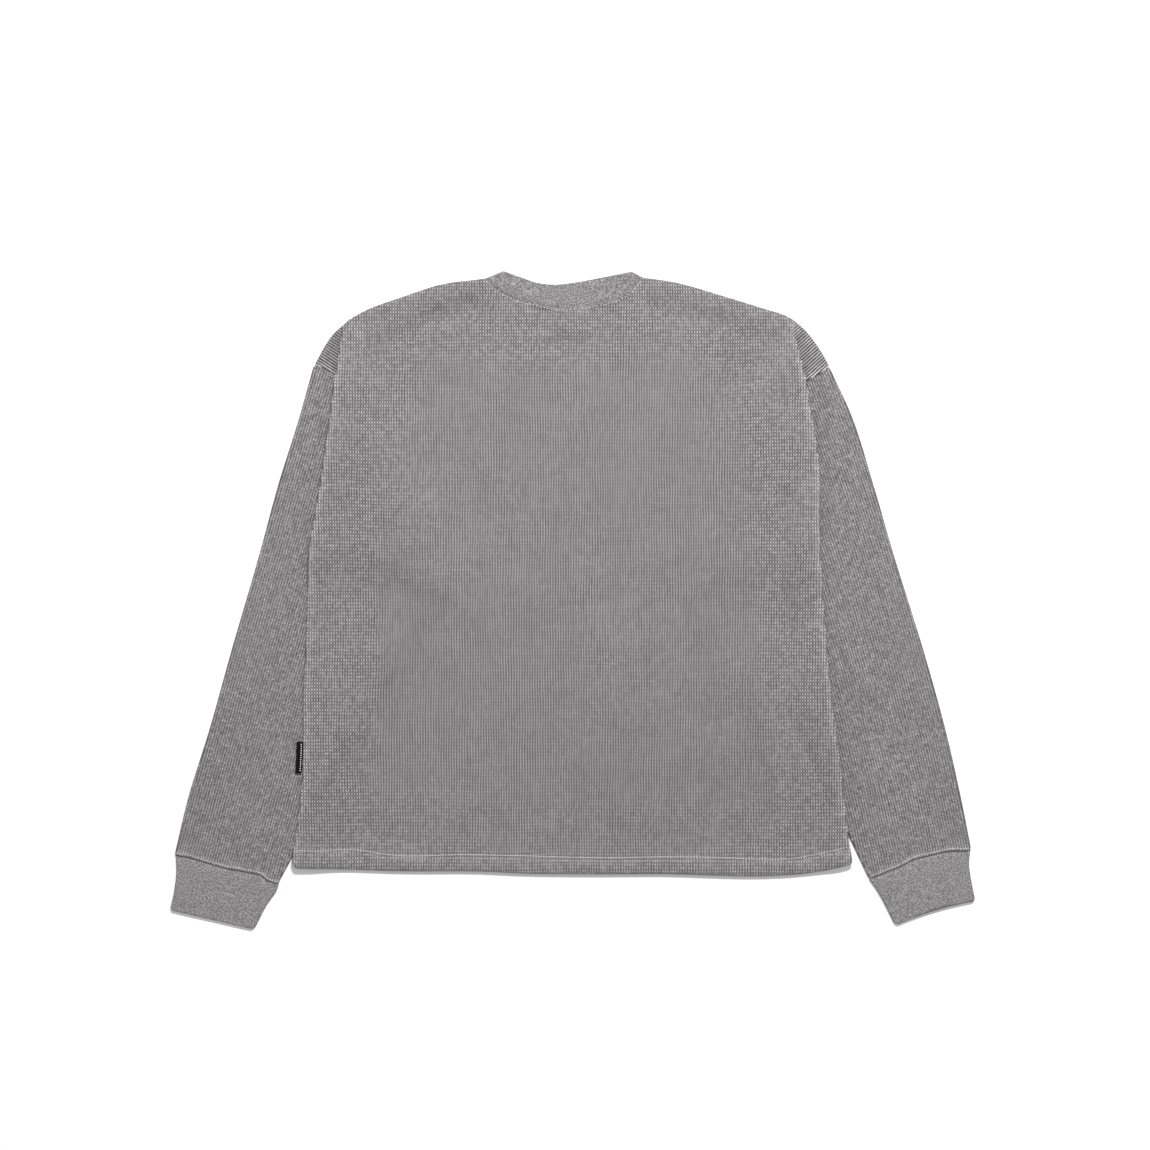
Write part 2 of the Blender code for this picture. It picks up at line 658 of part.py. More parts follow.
def make_collar():
    """A band around the neck, laid flat: its front part follows the lower front neckline."""
    turns = np.radians((45, 90, 135))
    shares = np.linspace(0, 1, NECK_STEPS + 1).clip(COLLAR_END, 1 - COLLAR_END)
    edge_drop = FRONT_NECK_DROP - COLLAR_HEIGHT + (COLLAR_LEFT_PEAK.y - BACK_NECK[0].y)
    front_edge_line = front_neck(edge_drop, COLLAR_LEFT_PEAK, COLLAR_RIGHT_PEAK)
    back_seam, back_edge = along(BACK_NECK, shares), along(COLLAR_EDGE, shares)
    front_seam, front_edge = along(front_neck(), shares), along(front_edge_line, shares)
    outer, inner = [], []
    for share in np.linspace(SEAM_GAP * 3 / COLLAR_HEIGHT, 1, 4):
        back = back_seam + share * (back_edge - back_seam)
        front = (front_seam + share * (front_edge - front_seam))[::-1]
        sag = neck_sag(back)
        for rings, inset in ((outer, 0), (inner, RIB)):
            top = PANEL_STEP + RIB - inset - sag
            low = np.full(len(shares), float(inset))
            right_turn = collar_turn(back[-1], back_edge[-1] - back_seam[-1], top[-1], inset, turns, -1)
            left_turn = collar_turn(back[0], back_edge[0] - back_seam[0], top[0], inset, turns[::-1], 1)
            rings.append(np.vstack([np.column_stack([back, top]), right_turn,
                                    np.column_stack([front, low]), left_turn]))
    return ring_wall("collar", outer, inner, RIB_KNIT)


def collar_turn(place, fold, top, low, turns, side):
    """Points round one end of the collar, where it turns from its back part down to its front part."""
    away = side * np.array([-fold[1], fold[0]]) / np.hypot(*fold)
    radius = (top - low) / 2
    level = (top + low) / 2 + radius * np.cos(turns)
    return np.column_stack([place + (radius * np.sin(turns))[:, None] * away, level])


def make_pleat(name, sections):
    """The hidden part of a shoulder, folded under between sleeve and body: two layers in one solid."""
    shares = np.linspace(0, 1, PLEAT_ACROSS)
    plan = np.array([section_places(section, shares) for section in sections_along(sections, PLEAT_STATIONS)])
    low = np.full(plan.shape[:2], SLEEVE_STACK + PLAY)
    panel = Panel()
    panel.patch(plan, low, low + PLEAT_STACK, lambda i, j: True)
    return cloth_wall(name, panel.plan, panel.quads, panel.low, panel.high, WAFFLE_KNIT, PLEAT_ROUNDING)


def make_label():
    """A folded tape that stands out of the left side seam, over the sleeve."""
    down, out = np.meshgrid(np.linspace(0, 1, 4), np.linspace(0, 1, 3), indexing="ij")
    y = LABEL_TOP - LABEL_LENGTH * down
    sides = np.array([(row.y, row.left) for row in SIDES])
    seam = smooth(sides[:, 0], sides[:, 1], y.ravel()).reshape(y.shape) - SEAM_GAP
    plan = np.stack([seam - LABEL_LEAN * down - LABEL_REACH * out, y], axis=-1)
    low = np.full(plan.shape[:2], LABEL_HEIGHT)
    panel = Panel()
    panel.patch(plan, low, low + LABEL_THICKNESS, lambda i, j: True)
    return cloth_wall("side_label", panel.plan, panel.quads, panel.low, panel.high, WOVEN_TAPE, LABEL_ROUNDING)


def centre_on_floor(pieces):
    """Moves every piece: the middle of the whole outline comes to X = Y = 0, the lowest point to Z = 0."""
    corners = np.array([vertex.co for piece in pieces for vertex in piece.data.vertices])
    low, high = corners.min(axis=0), corners.max(axis=0)
    for piece in pieces:
        for vertex in piece.data.vertices:
            vertex.co.x -= (low[0] + high[0]) / 2
            vertex.co.y -= (low[1] + high[1]) / 2
            vertex.co.z -= low[2]


def main():
    for old in list(bpy.data.objects):
        bpy.data.objects.remove(old)
    pieces = [
        make_front_panel(),
        make_back_panel(),
        make_collar(),
        make_sleeve("sleeve_left", SLEEVE_LEFT),
        make_sleeve("sleeve_right", SLEEVE_RIGHT),
        make_cuff("cuff_left", CUFF_LEFT),
        make_cuff("cuff_right", CUFF_RIGHT),
        make_pleat("pleat_left", PLEAT_LEFT),
        make_pleat("pleat_right", PLEAT_RIGHT),
        make_label(),
    ]
    centre_on_floor(pieces)


main()
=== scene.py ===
"""The looks of a long-sleeved waffle-knit thermal top that lies flat on its front.

Each visible side of a piece of cloth is a face: a lattice of knit cells over the plan, cut along the piece's
outline, laid on the height of its CAD solid and finished with a rounded rim. Metres, +Z up, in the frame of
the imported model. "left" is the side towards -X.
"""

from collections import namedtuple

import bpy
import numpy as np
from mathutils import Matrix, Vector
from mathutils.bvhtree import BVHTree


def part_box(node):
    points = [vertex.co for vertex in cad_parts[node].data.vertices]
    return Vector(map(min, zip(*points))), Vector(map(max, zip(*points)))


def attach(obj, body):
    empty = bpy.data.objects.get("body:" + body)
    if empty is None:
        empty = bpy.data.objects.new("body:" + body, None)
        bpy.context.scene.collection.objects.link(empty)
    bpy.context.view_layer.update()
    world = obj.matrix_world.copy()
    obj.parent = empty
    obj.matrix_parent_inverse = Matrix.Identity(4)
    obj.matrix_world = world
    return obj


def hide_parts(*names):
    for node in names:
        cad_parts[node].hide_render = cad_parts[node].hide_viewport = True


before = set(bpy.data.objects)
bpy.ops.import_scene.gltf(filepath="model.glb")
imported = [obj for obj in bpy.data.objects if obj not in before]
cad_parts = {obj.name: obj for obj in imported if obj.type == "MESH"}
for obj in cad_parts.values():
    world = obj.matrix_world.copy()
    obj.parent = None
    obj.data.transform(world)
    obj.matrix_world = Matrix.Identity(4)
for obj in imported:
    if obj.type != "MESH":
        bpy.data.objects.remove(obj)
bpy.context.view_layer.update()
randomness = np.random.default_rng(7)


def table(kind, *rows):
    """The rows as records of one kind."""
    return tuple(kind(*row) for row in rows)


# ---- Outlines, as in the CAD source ----

Place = namedtuple("Place", "x y")
Side = namedtuple("Side", "y left right")
Section = namedtuple("Section", "outer_x outer_y inner_x inner_y bow", defaults=[0.0])
SIDES = table(Side,
    (-0.2866, -0.3089, 0.3084), (-0.2514, -0.3040, 0.3025), (-0.1964, -0.2975, 0.2970),
    (-0.0974, -0.2960, 0.2844), (-0.0204, -0.2922, 0.2778), (0.0567, -0.2899, 0.2725),
    (0.1117, -0.2805, 0.2721), (0.1667, -0.2723, 0.2692), (0.2217, -0.2646, 0.2600),
    (0.2488, -0.2612, 0.2560), (0.2890, -0.2553, 0.2467))
HEM_LINE = table(Place,
    (-0.3060, -0.2940), (-0.2376, -0.2956), (-0.1897, -0.2972), (-0.1018, -0.2976), (-0.0530, -0.2998),
    (0.0150, -0.3006), (0.0963, -0.3003), (0.2261, -0.3021), (0.2569, -0.2998), (0.2877, -0.2944),
    (0.3070, -0.2892))
SHOULDER_LEFT = table(Place,
    (-0.2545, 0.3036), (-0.2483, 0.3091), (-0.2327, 0.3185), (-0.1865, 0.3361), (-0.1458, 0.3493),
    (-0.0963, 0.3559))
BACK_NECK = table(Place,
    (-0.0963, 0.3559), (-0.0815, 0.3419), (-0.0648, 0.3330), (-0.0424, 0.3273), (-0.0177, 0.3222),
    (0.0088, 0.3235), (0.0328, 0.3271), (0.0593, 0.3369), (0.0776, 0.3570))
SHOULDER_RIGHT = table(Place,
    (0.0776, 0.3570), (0.1114, 0.3522), (0.1623, 0.3379), (0.2107, 0.3229), (0.2382, 0.3137),
    (0.2440, 0.3101))
SHOULDER_END = {
    "left": SHOULDER_LEFT[:1] + table(Place,
        (-0.2640, 0.2946), (-0.2738, 0.2805), (-0.2830, 0.2635), (-0.2861, 0.2585)),
    "right": SHOULDER_RIGHT[-1:] + table(Place,
        (0.2551, 0.3006), (0.2668, 0.2866), (0.2759, 0.2728), (0.2837, 0.2582))}
FRONT_NECK_DROP, NECK_POWER = 0.110, 2.6
COLLAR_PEAKS = table(Place, (-0.0762, 0.3643), (0.0652, 0.3635))
COLLAR_EDGE = (COLLAR_PEAKS[0], *table(Place,
    (-0.0550, 0.3566), (-0.0402, 0.3515), (-0.0220, 0.3493), (0.0039, 0.3517), (0.0303, 0.3566)),
    COLLAR_PEAKS[1])
COLLAR_HEIGHT = 0.026
SLEEVE = {
    "left": table(Section,
        (-0.2861, 0.2573, -0.2239, 0.2230, 0.0056), (-0.3020, 0.2005, -0.1960, 0.1480, 0.0040),
        (-0.3238, 0.1305, -0.1700, 0.0760), (-0.3447, 0.0535, -0.1524, 0.0204),
        (-0.3757, -0.0534, -0.2050, -0.0790), (-0.4007, -0.1430, -0.2500, -0.1690),
        (-0.4241, -0.2184, -0.2890, -0.2450), (-0.4385, -0.2797, -0.3225, -0.3071)),
    "right": table(Section,
        (0.2837, 0.2573, 0.2151, 0.2176), (0.3080, 0.2040, 0.1872, 0.1480),
        (0.3310, 0.1310, 0.1612, 0.0760), (0.3538, 0.0525, 0.1436, 0.0204),
        (0.3867, -0.0534, 0.2017, -0.0790), (0.4115, -0.1430, 0.2491, -0.1600),
        (0.4285, -0.2184, 0.2960, -0.2410), (0.4395, -0.2738, 0.3270, -0.3060))}
CUFF = {
    "left": table(Section,
        (-0.4372, -0.2801, -0.3231, -0.3074), (-0.4363, -0.2930, -0.3252, -0.3165),
        (-0.4385, -0.3160, -0.3372, -0.3345), (-0.4437, -0.3400, -0.3509, -0.3614)),
    "right": table(Section,
        (0.4386, -0.2742, 0.3275, -0.3064), (0.4370, -0.2880, 0.3340, -0.3155),
        (0.4398, -0.3090, 0.3430, -0.3310), (0.4440, -0.3300, 0.3558, -0.3568))}
CUFF_SEAM = {
    "left": table(Place,
        (-0.4385, -0.2797), (-0.4266, -0.2811), (-0.4051, -0.2874), (-0.3813, -0.2940), (-0.3574, -0.2987),
        (-0.3419, -0.3024), (-0.3371, -0.3071), (-0.3229, -0.3119)),
    "right": table(Place,
        (0.4380, -0.2748), (0.4145, -0.2752), (0.3948, -0.2796), (0.3752, -0.2846), (0.3605, -0.2924),
        (0.3457, -0.2983), (0.3310, -0.3042))}
HEM_SEAM = table(Place,
    (-0.3030, -0.2738), (-0.2888, -0.2744), (-0.2376, -0.2734), (-0.2030, -0.2788), (-0.1117, -0.2788),
    (-0.0578, -0.2800), (0.0270, -0.2822), (0.1073, -0.2811), (0.1546, -0.2816), (0.2063, -0.2838),
    (0.2437, -0.2830), (0.2730, -0.2771), (0.3040, -0.2698))
LABEL_TOP, LABEL_LENGTH, LABEL_REACH, LABEL_LEAN = -0.1542, 0.0350, 0.0072, 0.0008

# The tables' own origin, seen from the frame's.
ORIGIN = np.array([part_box("back_panel")[0].x - SIDES[0].left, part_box("side_label")[1].y - LABEL_TOP])

# ---- Soft creases of what shows, and painted light and shade: from one end to the other, reach and height ----

Fold = namedtuple("Fold", "x0 y0 x1 y1 reach height")
BACK_CREASES = table(Fold,
    (-0.030, 0.299, 0.018, 0.289, 0.004, -0.0010),  # short arc below the collar
    (-0.046, 0.3215, -0.014, 0.3195, 0.0022, -0.0012),  # tucks at the neck seam
    (0.004, 0.3215, 0.020, 0.3225, 0.0022, -0.0008),
    (-0.204, 0.3120, -0.146, 0.3220, 0.010, -0.0005),  # trough inside the left shoulder
    (-0.146, 0.3220, -0.100, 0.3250, 0.010, -0.0005),
    (0.088, 0.3250, 0.162, 0.3120, 0.010, -0.0005),  # and inside the right one
    (0.162, 0.3120, 0.232, 0.2910, 0.010, -0.0005),
    (-0.285, 0.056, -0.200, 0.050, 0.018, 0.0003),  # step at the left armpit
    (-0.200, 0.050, -0.156, 0.020, 0.018, 0.0004),
    (-0.285, 0.030, -0.205, 0.022, 0.016, -0.0003),
    (-0.178, 0.036, -0.150, 0.016, 0.008, 0.0004),
    (-0.190, 0.008, -0.150, 0.002, 0.008, -0.0005),
    (-0.140, 0.007, -0.190, -0.064, 0.006, 0.0009),  # impression of the left sleeve's inner edge
    (-0.190, -0.064, -0.228, -0.141, 0.007, 0.0010),
    (-0.228, -0.141, -0.278, -0.207, 0.008, 0.0009),
    (0.265, 0.270, 0.268, 0.060, 0.0040, 0.0010),  # rounded right edge
    (0.247, 0.110, 0.245, -0.020, 0.006, -0.0012),  # valley inside it
    (0.235, -0.130, 0.270, -0.195, 0.009, -0.0013),
    (0.200, -0.085, 0.228, -0.215, 0.012, 0.0010),
    (0.070, -0.100, 0.180, -0.140, 0.030, -0.0011),
    (0.090, 0.060, 0.215, 0.050, 0.020, 0.0012),
    (-0.230, 0.180, -0.120, 0.170, 0.025, 0.0012),
    (-0.020, 0.120, 0.050, -0.120, 0.045, 0.0008),
    (-0.240, -0.225, -0.080, -0.215, 0.016, 0.0007),
    (0.040, -0.235, 0.210, -0.228, 0.014, 0.0006))
SLEEVE_CREASES = table(Fold,
    (0.284, -0.042, 0.328, -0.114, 0.004, -0.0009),  # wrinkle beside the body's right edge
    (0.296, -0.050, 0.338, -0.112, 0.005, 0.0006),
    (0.306, -0.200, 0.318, -0.285, 0.006, -0.0007),
    (0.330, -0.190, 0.345, -0.270, 0.010, 0.0006),
    (-0.316, -0.150, -0.330, -0.235, 0.008, -0.0007),
    (-0.345, -0.150, -0.362, -0.250, 0.012, 0.0005),
    (-0.310, 0.150, -0.350, 0.010, 0.012, 0.0004),
    (0.325, 0.150, 0.365, 0.000, 0.012, 0.0004))
CUFF_CREASES = table(Fold,
    (-0.438, -0.292, -0.330, -0.318, 0.005, 0.0003),
    (0.438, -0.288, 0.340, -0.312, 0.005, 0.0003))
BACK_PAINTED_SHADING = table(Fold,  # painted shade above 0 and painted light below, in place of the relief's light and shade
    (-0.212, 0.290, -0.152, 0.322, 0.008, 0.20),
    (-0.152, 0.322, -0.113, 0.333, 0.009, 0.26),
    (-0.113, 0.333, -0.092, 0.324, 0.008, 0.16),
    (0.092, 0.330, 0.162, 0.316, 0.009, 0.22),
    (0.162, 0.316, 0.217, 0.293, 0.009, 0.18),
    (-0.246, 0.308, -0.236, 0.298, 0.010, -0.45),
    (0.232, 0.310, 0.244, 0.302, 0.010, -0.20),
    (-0.025, 0.294, 0.011, 0.292, 0.006, 0.16),
    (-0.006, 0.264, 0.026, 0.264, 0.014, -0.08),
    (0.190, 0.262, 0.236, 0.240, 0.036, 0.10),
    (-0.222, 0.272, -0.196, 0.236, 0.020, 0.08),
    (-0.283, 0.010, -0.250, 0.038, 0.017, 0.08),
    (-0.250, 0.038, -0.190, 0.030, 0.017, 0.07),
    (-0.190, 0.030, -0.150, 0.002, 0.013, 0.08),
    (-0.038, 0.3245, -0.015, 0.3220, 0.003, 0.5),  # painted shade of small puckers below the collar
    (0.020, 0.3225, 0.046, 0.3290, 0.003, 0.3),
    (-0.030, 0.2860, -0.012, 0.2905, 0.004, 0.25),
    (-0.012, 0.2905, 0.012, 0.2870, 0.004, 0.25),
    (-0.146, 0.002, -0.206, -0.086, 0.011, 0.09),
    (-0.206, -0.086, -0.245, -0.163, 0.012, 0.09),
    (-0.245, -0.163, -0.283, -0.229, 0.013, 0.09),
    (-0.270, 0.222, -0.275, 0.079, 0.009, -0.16),
    (-0.250, 0.000, -0.262, -0.100, 0.012, -0.06),
    (0.237, 0.122, 0.239, 0.040, 0.013, 0.12),
    (0.238, 0.016, 0.242, -0.020, 0.012, 0.22),
    (0.262, 0.235, 0.270, 0.075, 0.010, -0.22),
    (0.060, -0.120, 0.200, -0.150, 0.070, 0.05),
    (0.060, -0.200, 0.230, -0.210, 0.060, 0.06),
    (0.258, -0.130, 0.286, -0.215, 0.015, 0.18))
# Painted shade above 0 and painted light below on the sleeves, in place of their relief's light and shade.
SLEEVE_PAINTED_SHADING = table(Fold,
    (-0.262, 0.282, -0.268, 0.262, 0.014, -0.30),
    (-0.377, -0.150, -0.385, -0.220, 0.040, 0.07),
    (0.294, -0.086, 0.322, -0.108, 0.010, 0.12),
    (0.289, -0.108, 0.316, -0.218, 0.020, 0.08),
    (0.272, 0.244, 0.279, 0.215, 0.012, 0.12),
    (0.360, 0.000, 0.400, -0.120, 0.040, 0.04),
    (0.420, -0.200, 0.400, -0.260, 0.030, 0.06))

# ---- Curves, distances and soft steps ----

TINY = 1e-9


def smooth(keys, values, at):
    """Values at the places in at, on a smooth curve through one value, or one row of them, for each key."""
    keys, values, at = (np.asarray(given, float) for given in (keys, values, at))
    slopes = np.gradient(values, keys, axis=0)
    i = np.clip(np.searchsorted(keys, at, "right") - 1, 0, len(keys) - 2)
    width = keys[i + 1] - keys[i]
    t = (at - keys[i]) / width
    if values.ndim > 1:
        t, width = t[:, None], width[:, None]
    start = (2 * t**3 - 3 * t**2 + 1) * values[i] + (t**3 - 2 * t**2 + t) * width * slopes[i]
    end = (3 * t**2 - 2 * t**3) * values[i + 1] + (t**3 - t**2) * width * slopes[i + 1]
    return start + end


def way_along(rows):
    """How far along the line through the rows each of them lies."""
    return np.concatenate([[0], np.cumsum(np.hypot(*np.diff(rows[:, :2], axis=0).T))])


def along(rows, shares):
    """Rows at the given shares of the way along a smooth curve through the given rows."""
    rows = np.asarray(rows, float)
    way = way_along(rows)
    return smooth(way / way[-1], rows, shares)


def curve(rows, count):
    return along(rows, np.linspace(0, 1, count))


def curve_at(rows, shares):
    """Rows of a dense table at the given shares of its length, a little beyond its ends too."""
    place = np.clip(shares, 0, 1) * (len(rows) - 1)
    i = np.minimum(place.astype(int), len(rows) - 2)
    t = (shares * (len(rows) - 1) - i)[:, None]
    return rows[i] * (1 - t) + rows[i + 1] * t


def soft_step(distance, start, width):
    """0 up to start and 1 from start + width, with a smooth slope between them."""
    t = np.clip((distance - start) / width, 0, 1)
    return t * t * (3 - 2 * t)


def hump(distance, middle, reach):
    """1 at the middle, and less and less beyond the reach on both sides."""
    return np.exp(-(((distance - middle) / reach) ** 2))


def share_along(points, start, way):
    """How far along the way from start the nearest place to each point is, from 0 to 1."""
    return np.clip(((points - start) @ way) / max(way @ way, TINY**2), 0, 1)


def to_segment(points, start, end):
    """Distance of each point to the straight line from start to end."""
    start, way = np.asarray(start), np.subtract(end, start)
    return np.linalg.norm(points - start - share_along(points, start, way)[..., None] * way, axis=-1)


def to_line(points, corners):
    """Distance of each point to the open line through the corners."""
    return np.min([to_segment(points, a, b) for a, b in zip(corners[:-1], corners[1:])], axis=0)


def near(line, start, width):
    """A function of places: 1 up to start from the line, and 0 from start + width."""
    return lambda plan: 1 - soft_step(to_line(plan, line), start, width)


def blend(far, close, share):
    """A function of places: far where their share is 0, and close where it is 1."""
    return lambda plan: far + share(plan) * (close - far)


def depth_in(points, corners):
    """Distance of each point to the closed outline through the corners, above 0 inside it."""
    nearest = np.full(len(points), np.inf)
    inside = np.zeros(len(points), bool)
    for a, b in zip(corners, np.roll(corners, -1, axis=0)):
        nearest = np.minimum(nearest, to_segment(points, a, b))
        if a[1] != b[1]:
            crossing = a[0] + (points[:, 1] - a[1]) * (b[0] - a[0]) / (b[1] - a[1])
            inside ^= ((points[:, 1] < a[1]) != (points[:, 1] < b[1])) & (points[:, 0] < crossing)
    return np.where(inside, nearest, -nearest)


def nearest_on(points, corners):
    """For each point, the nearest place on the closed outline through the corners."""
    best, place = np.full(len(points), np.inf), np.zeros((len(points), 2))
    for a, b in zip(corners, np.roll(corners, -1, axis=0)):
        candidate = a + share_along(points, a, b - a)[:, None] * (b - a)
        away = np.linalg.norm(points - candidate, axis=1)
        closer = away < best
        best[closer], place[closer] = away[closer], candidate[closer]
    return place


def creases(points, folds):
    """What the folds' heights add up to at each point."""
    height = np.zeros(len(points))
    for fold in folds:
        height += fold.height * hump(to_segment(points, fold[0:2], fold[2:4]), 0, fold.reach)
    return height


def anticlockwise(outline):
    x, y = outline.T
    return outline if np.sum(x * np.roll(y, -1) - np.roll(x, -1) * y) > 0 else outline[::-1]


def inset_outline(outline, amount):
    """The outline moved in by the amount along its normals."""
    way = np.roll(outline, -1, axis=0) - np.roll(outline, 1, axis=0)
    way /= np.maximum(np.linalg.norm(way, axis=1, keepdims=True), TINY)
    return outline + amount * np.column_stack([-way[:, 1], way[:, 0]])


# ---- Outlines in the tables' coordinates ----

EDGE_POINTS, SHOULDER_POINTS, END_POINTS = 40, 16, 14  # along a side or the hem, a shoulder, and its end
NECK_POINTS, FRONT_NECK_POINTS, TUBE_POINTS = 30, 49, 12  # along both necklines, and across a tube


def front_neck(drop=FRONT_NECK_DROP, left=BACK_NECK[0], right=BACK_NECK[-1]):
    """The front neckline, deepest in the middle and steep at the shoulder seams."""
    share = np.linspace(-1, 1, FRONT_NECK_POINTS)
    x = (left.x + right.x) / 2 + share * (right.x - left.x) / 2
    level = np.linspace(left.y, right.y, len(share))
    return np.column_stack([x, level - drop * (1 - np.abs(share) ** NECK_POWER)])


def side_curve(side):
    """The body's side from the hem's corner up to the pleat's top."""
    rows = np.array([(getattr(row, side), row.y) for row in SIDES])
    y = np.linspace(rows[0, 1], rows[-1, 1], EDGE_POINTS)
    return np.column_stack([smooth(rows[:, 1], rows[:, 0], y), y])


def body_outline(neck):
    """The body's main part, anticlockwise from the hem's left corner."""
    hem = np.asarray(HEM_LINE)
    x = np.linspace(hem[0, 0], hem[-1, 0], EDGE_POINTS)
    bottom = np.column_stack([x, smooth(hem[:, 0], hem[:, 1], x)])
    left, right = (curve(shoulder, SHOULDER_POINTS)[::-1] for shoulder in (SHOULDER_LEFT, SHOULDER_RIGHT))
    return np.vstack([bottom, side_curve("right"), right, neck[::-1][1:-1], left, side_curve("left")[::-1]])


def section_places(section, shares):
    """Places across a section at the given shares of its width, on its bow."""
    places = section[0:2] + shares[:, None] * np.subtract(section[2:4], section[0:2])
    places[:, 1] += section.bow * np.sin(np.pi * np.sqrt(shares))
    return places


def width_of(section):
    return np.hypot(section.inner_x - section.outer_x, section.inner_y - section.outer_y)


def tube_outline(sections, end, start=None):
    """The plan of a flattened tube, anticlockwise: its outer fold, its end, its inner fold and its start.
    Both ends are lines from the outer fold inwards, and the start is by default the first section."""
    rows = curve(sections, EDGE_POINTS)
    if start is None:
        start = section_places(sections[0], np.linspace(0, 1, TUBE_POINTS))
    return anticlockwise(np.vstack([rows[:, 0:2], end[1:], rows[::-1, 2:4], start[1:-1][::-1]]))


# ---- Heights from the CAD solids ----


def blur(values, sigma):
    """The grid softened with a bell curve of that many steps."""
    reach = int(np.ceil(3 * sigma))
    bell = np.exp(-0.5 * (np.arange(-reach, reach + 1) / sigma) ** 2)
    bell /= bell.sum()
    for axis in (0, 1):
        values = np.apply_along_axis(lambda line: np.convolve(line, bell)[reach:-reach], axis, values)
    return values


class Height:
    """The softened height of a CAD node's upper or lower side over the plan, and a little past its edge."""

    STEP, MARGIN = 0.004, 0.024
    CLEAR = 0.01  # from the node's box to where the rays start
    WIDER = 3  # how many times softer it is where little of the node is near
    ENOUGH = 0.2  # the share of the surroundings that has to be node for the usual softness

    def __init__(self, node, upper=True, soften=2.2, trim=1):
        low, high = (np.array(corner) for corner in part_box(node))
        self.start = low[:2] - self.MARGIN
        counts = np.ceil((high[:2] + self.MARGIN - self.start) / self.STEP).astype(int) + 1
        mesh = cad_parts[node].data
        tree = BVHTree.FromPolygons([v.co for v in mesh.vertices], [list(p.vertices) for p in mesh.polygons])
        z, way = (high[2] + self.CLEAR, -1) if upper else (low[2] - self.CLEAR, 1)
        level, known = np.zeros(counts), np.zeros(counts)
        for i, j in np.ndindex(*counts):
            x, y = self.start + (i * self.STEP, j * self.STEP)
            hit = tree.ray_cast(Vector((x, y, z)), Vector((0, 0, way)))[0]
            if hit is not None:
                level[i, j], known[i, j] = hit.z, 1
        for _ in range(trim):
            for axis in (0, 1):
                known = known * np.roll(known, 1, axis) * np.roll(known, -1, axis)
        weight, wide = blur(known, soften), blur(known, self.WIDER * soften)
        near = blur(level * known, soften) / np.maximum(weight, TINY)
        far = blur(level * known, self.WIDER * soften) / np.maximum(wide, TINY)
        share = np.clip(weight / self.ENOUGH, 0, 1)
        self.level = near * share + far * (1 - share)

    def __call__(self, points):
        place = np.clip((points + ORIGIN - self.start) / self.STEP, 0, np.array(self.level.shape) - 1.001)
        i, j = place.astype(int).T
        u, v = (place % 1).T
        return ((1 - u) * (1 - v) * self.level[i, j] + u * (1 - v) * self.level[i + 1, j]
                + (1 - u) * v * self.level[i, j + 1] + u * v * self.level[i + 1, j + 1])


def on_floor(plan, depth):
    """The surface of a lower side that lies on Z = 0."""
    return np.zeros(len(plan))


# ---- Covers: points of the plan with their level, and with their place in the knit in ridges and bars ----

Cover = namedtuple("Cover", "plan level knit triangles")

WALE, ROW = 0.00286, 0.00369  # pitch of the vertical ridges, and of the bars across them
RIB_PITCH, RIB_POINTS = 0.0017, 4  # and points across each rib
KNIT_WOBBLE = 0.035  # how far knit points stray, as a share of the pitch
# Levels of knit points, 1 on a ridge and 0 in a pit.
CREST_LEVEL, CROSSING_LEVEL, BAR_LEVEL, PIT_LEVEL = 1.0, 0.8, 0.45, 0.0
# Kinds of knit: how far its ridges read as unbroken lines.
CELLS, LINES, BOLD = 0.0, 0.55, 1.0


def waffle(u_span, v_span, to_plan, kind=CELLS, bars=False):
    """Waffle cells. Ridges run along v. to_plan turns (u, v) into a place on the plan. Bars, where they are
    made, have a point of their own halfway between ridges."""
    columns = np.arange(np.floor(u_span[0] / WALE), np.ceil(u_span[1] / WALE) + 1) * WALE
    rows = np.arange(np.floor(v_span[0] / ROW), np.ceil(v_span[1] / ROW) + 1) * ROW
    crossings = np.stack(np.meshgrid(columns, rows), axis=-1)
    grids = [(crossings, CROSSING_LEVEL if kind == CELLS else CREST_LEVEL),
             (crossings[:-1, :-1] + (WALE / 2, ROW / 2), PIT_LEVEL)]
    if bars:
        grids.append((crossings[:, :-1] + (WALE / 2, 0), BAR_LEVEL))
    numbers, flat, level, first = [], [], [], 0
    for grid, height in grids:
        count = grid.shape[0] * grid.shape[1]
        numbers.append(first + np.arange(count).reshape(grid.shape[:2]))
        flat.append(grid.reshape(-1, 2))
        level.append(np.full(count, height))
        first += count
    corner, pit = numbers[:2]
    ring = [corner[:-1, :-1], corner[:-1, 1:], corner[1:, 1:], corner[1:, :-1]]
    if bars:
        ring.insert(3, numbers[2][1:])
        ring.insert(1, numbers[2][:-1])
    triangles = [np.stack([pit, a, b], axis=-1).reshape(-1, 3) for a, b in zip(ring, ring[1:] + ring[:1])]
    flat, level = np.vstack(flat), np.concatenate(level)
    knit = np.column_stack([flat / (WALE, ROW), np.full(len(flat), kind)])
    flat = flat + randomness.normal(0, KNIT_WOBBLE, flat.shape) * (WALE, ROW)
    level = level + randomness.normal(0, 2 * KNIT_WOBBLE, len(level))
    return facing_up(Cover(to_plan(flat), level, knit, np.vstack(triangles)))


def ribs(to_plan, length, rows):
    """Fine ribs. to_plan turns (share across the ribs, share along them) into a place on the plan."""
    count = int(round(length / RIB_PITCH))
    columns = RIB_POINTS * count + 1
    u, v = np.meshgrid(np.linspace(0, 1, columns), np.linspace(0, 1, rows))
    phase = np.broadcast_to(np.arange(columns) * 2 * np.pi / RIB_POINTS, u.shape)
    level = 0.5 + 0.5 * np.cos(phase) + randomness.normal(0, KNIT_WOBBLE, u.shape)
    knit = np.column_stack([u.ravel() * count, v.ravel() * rows, np.zeros(u.size)])
    plan = to_plan(u.ravel(), v.ravel())
    return facing_up(Cover(plan, level.ravel(), knit, grid_triangles(rows, columns)))


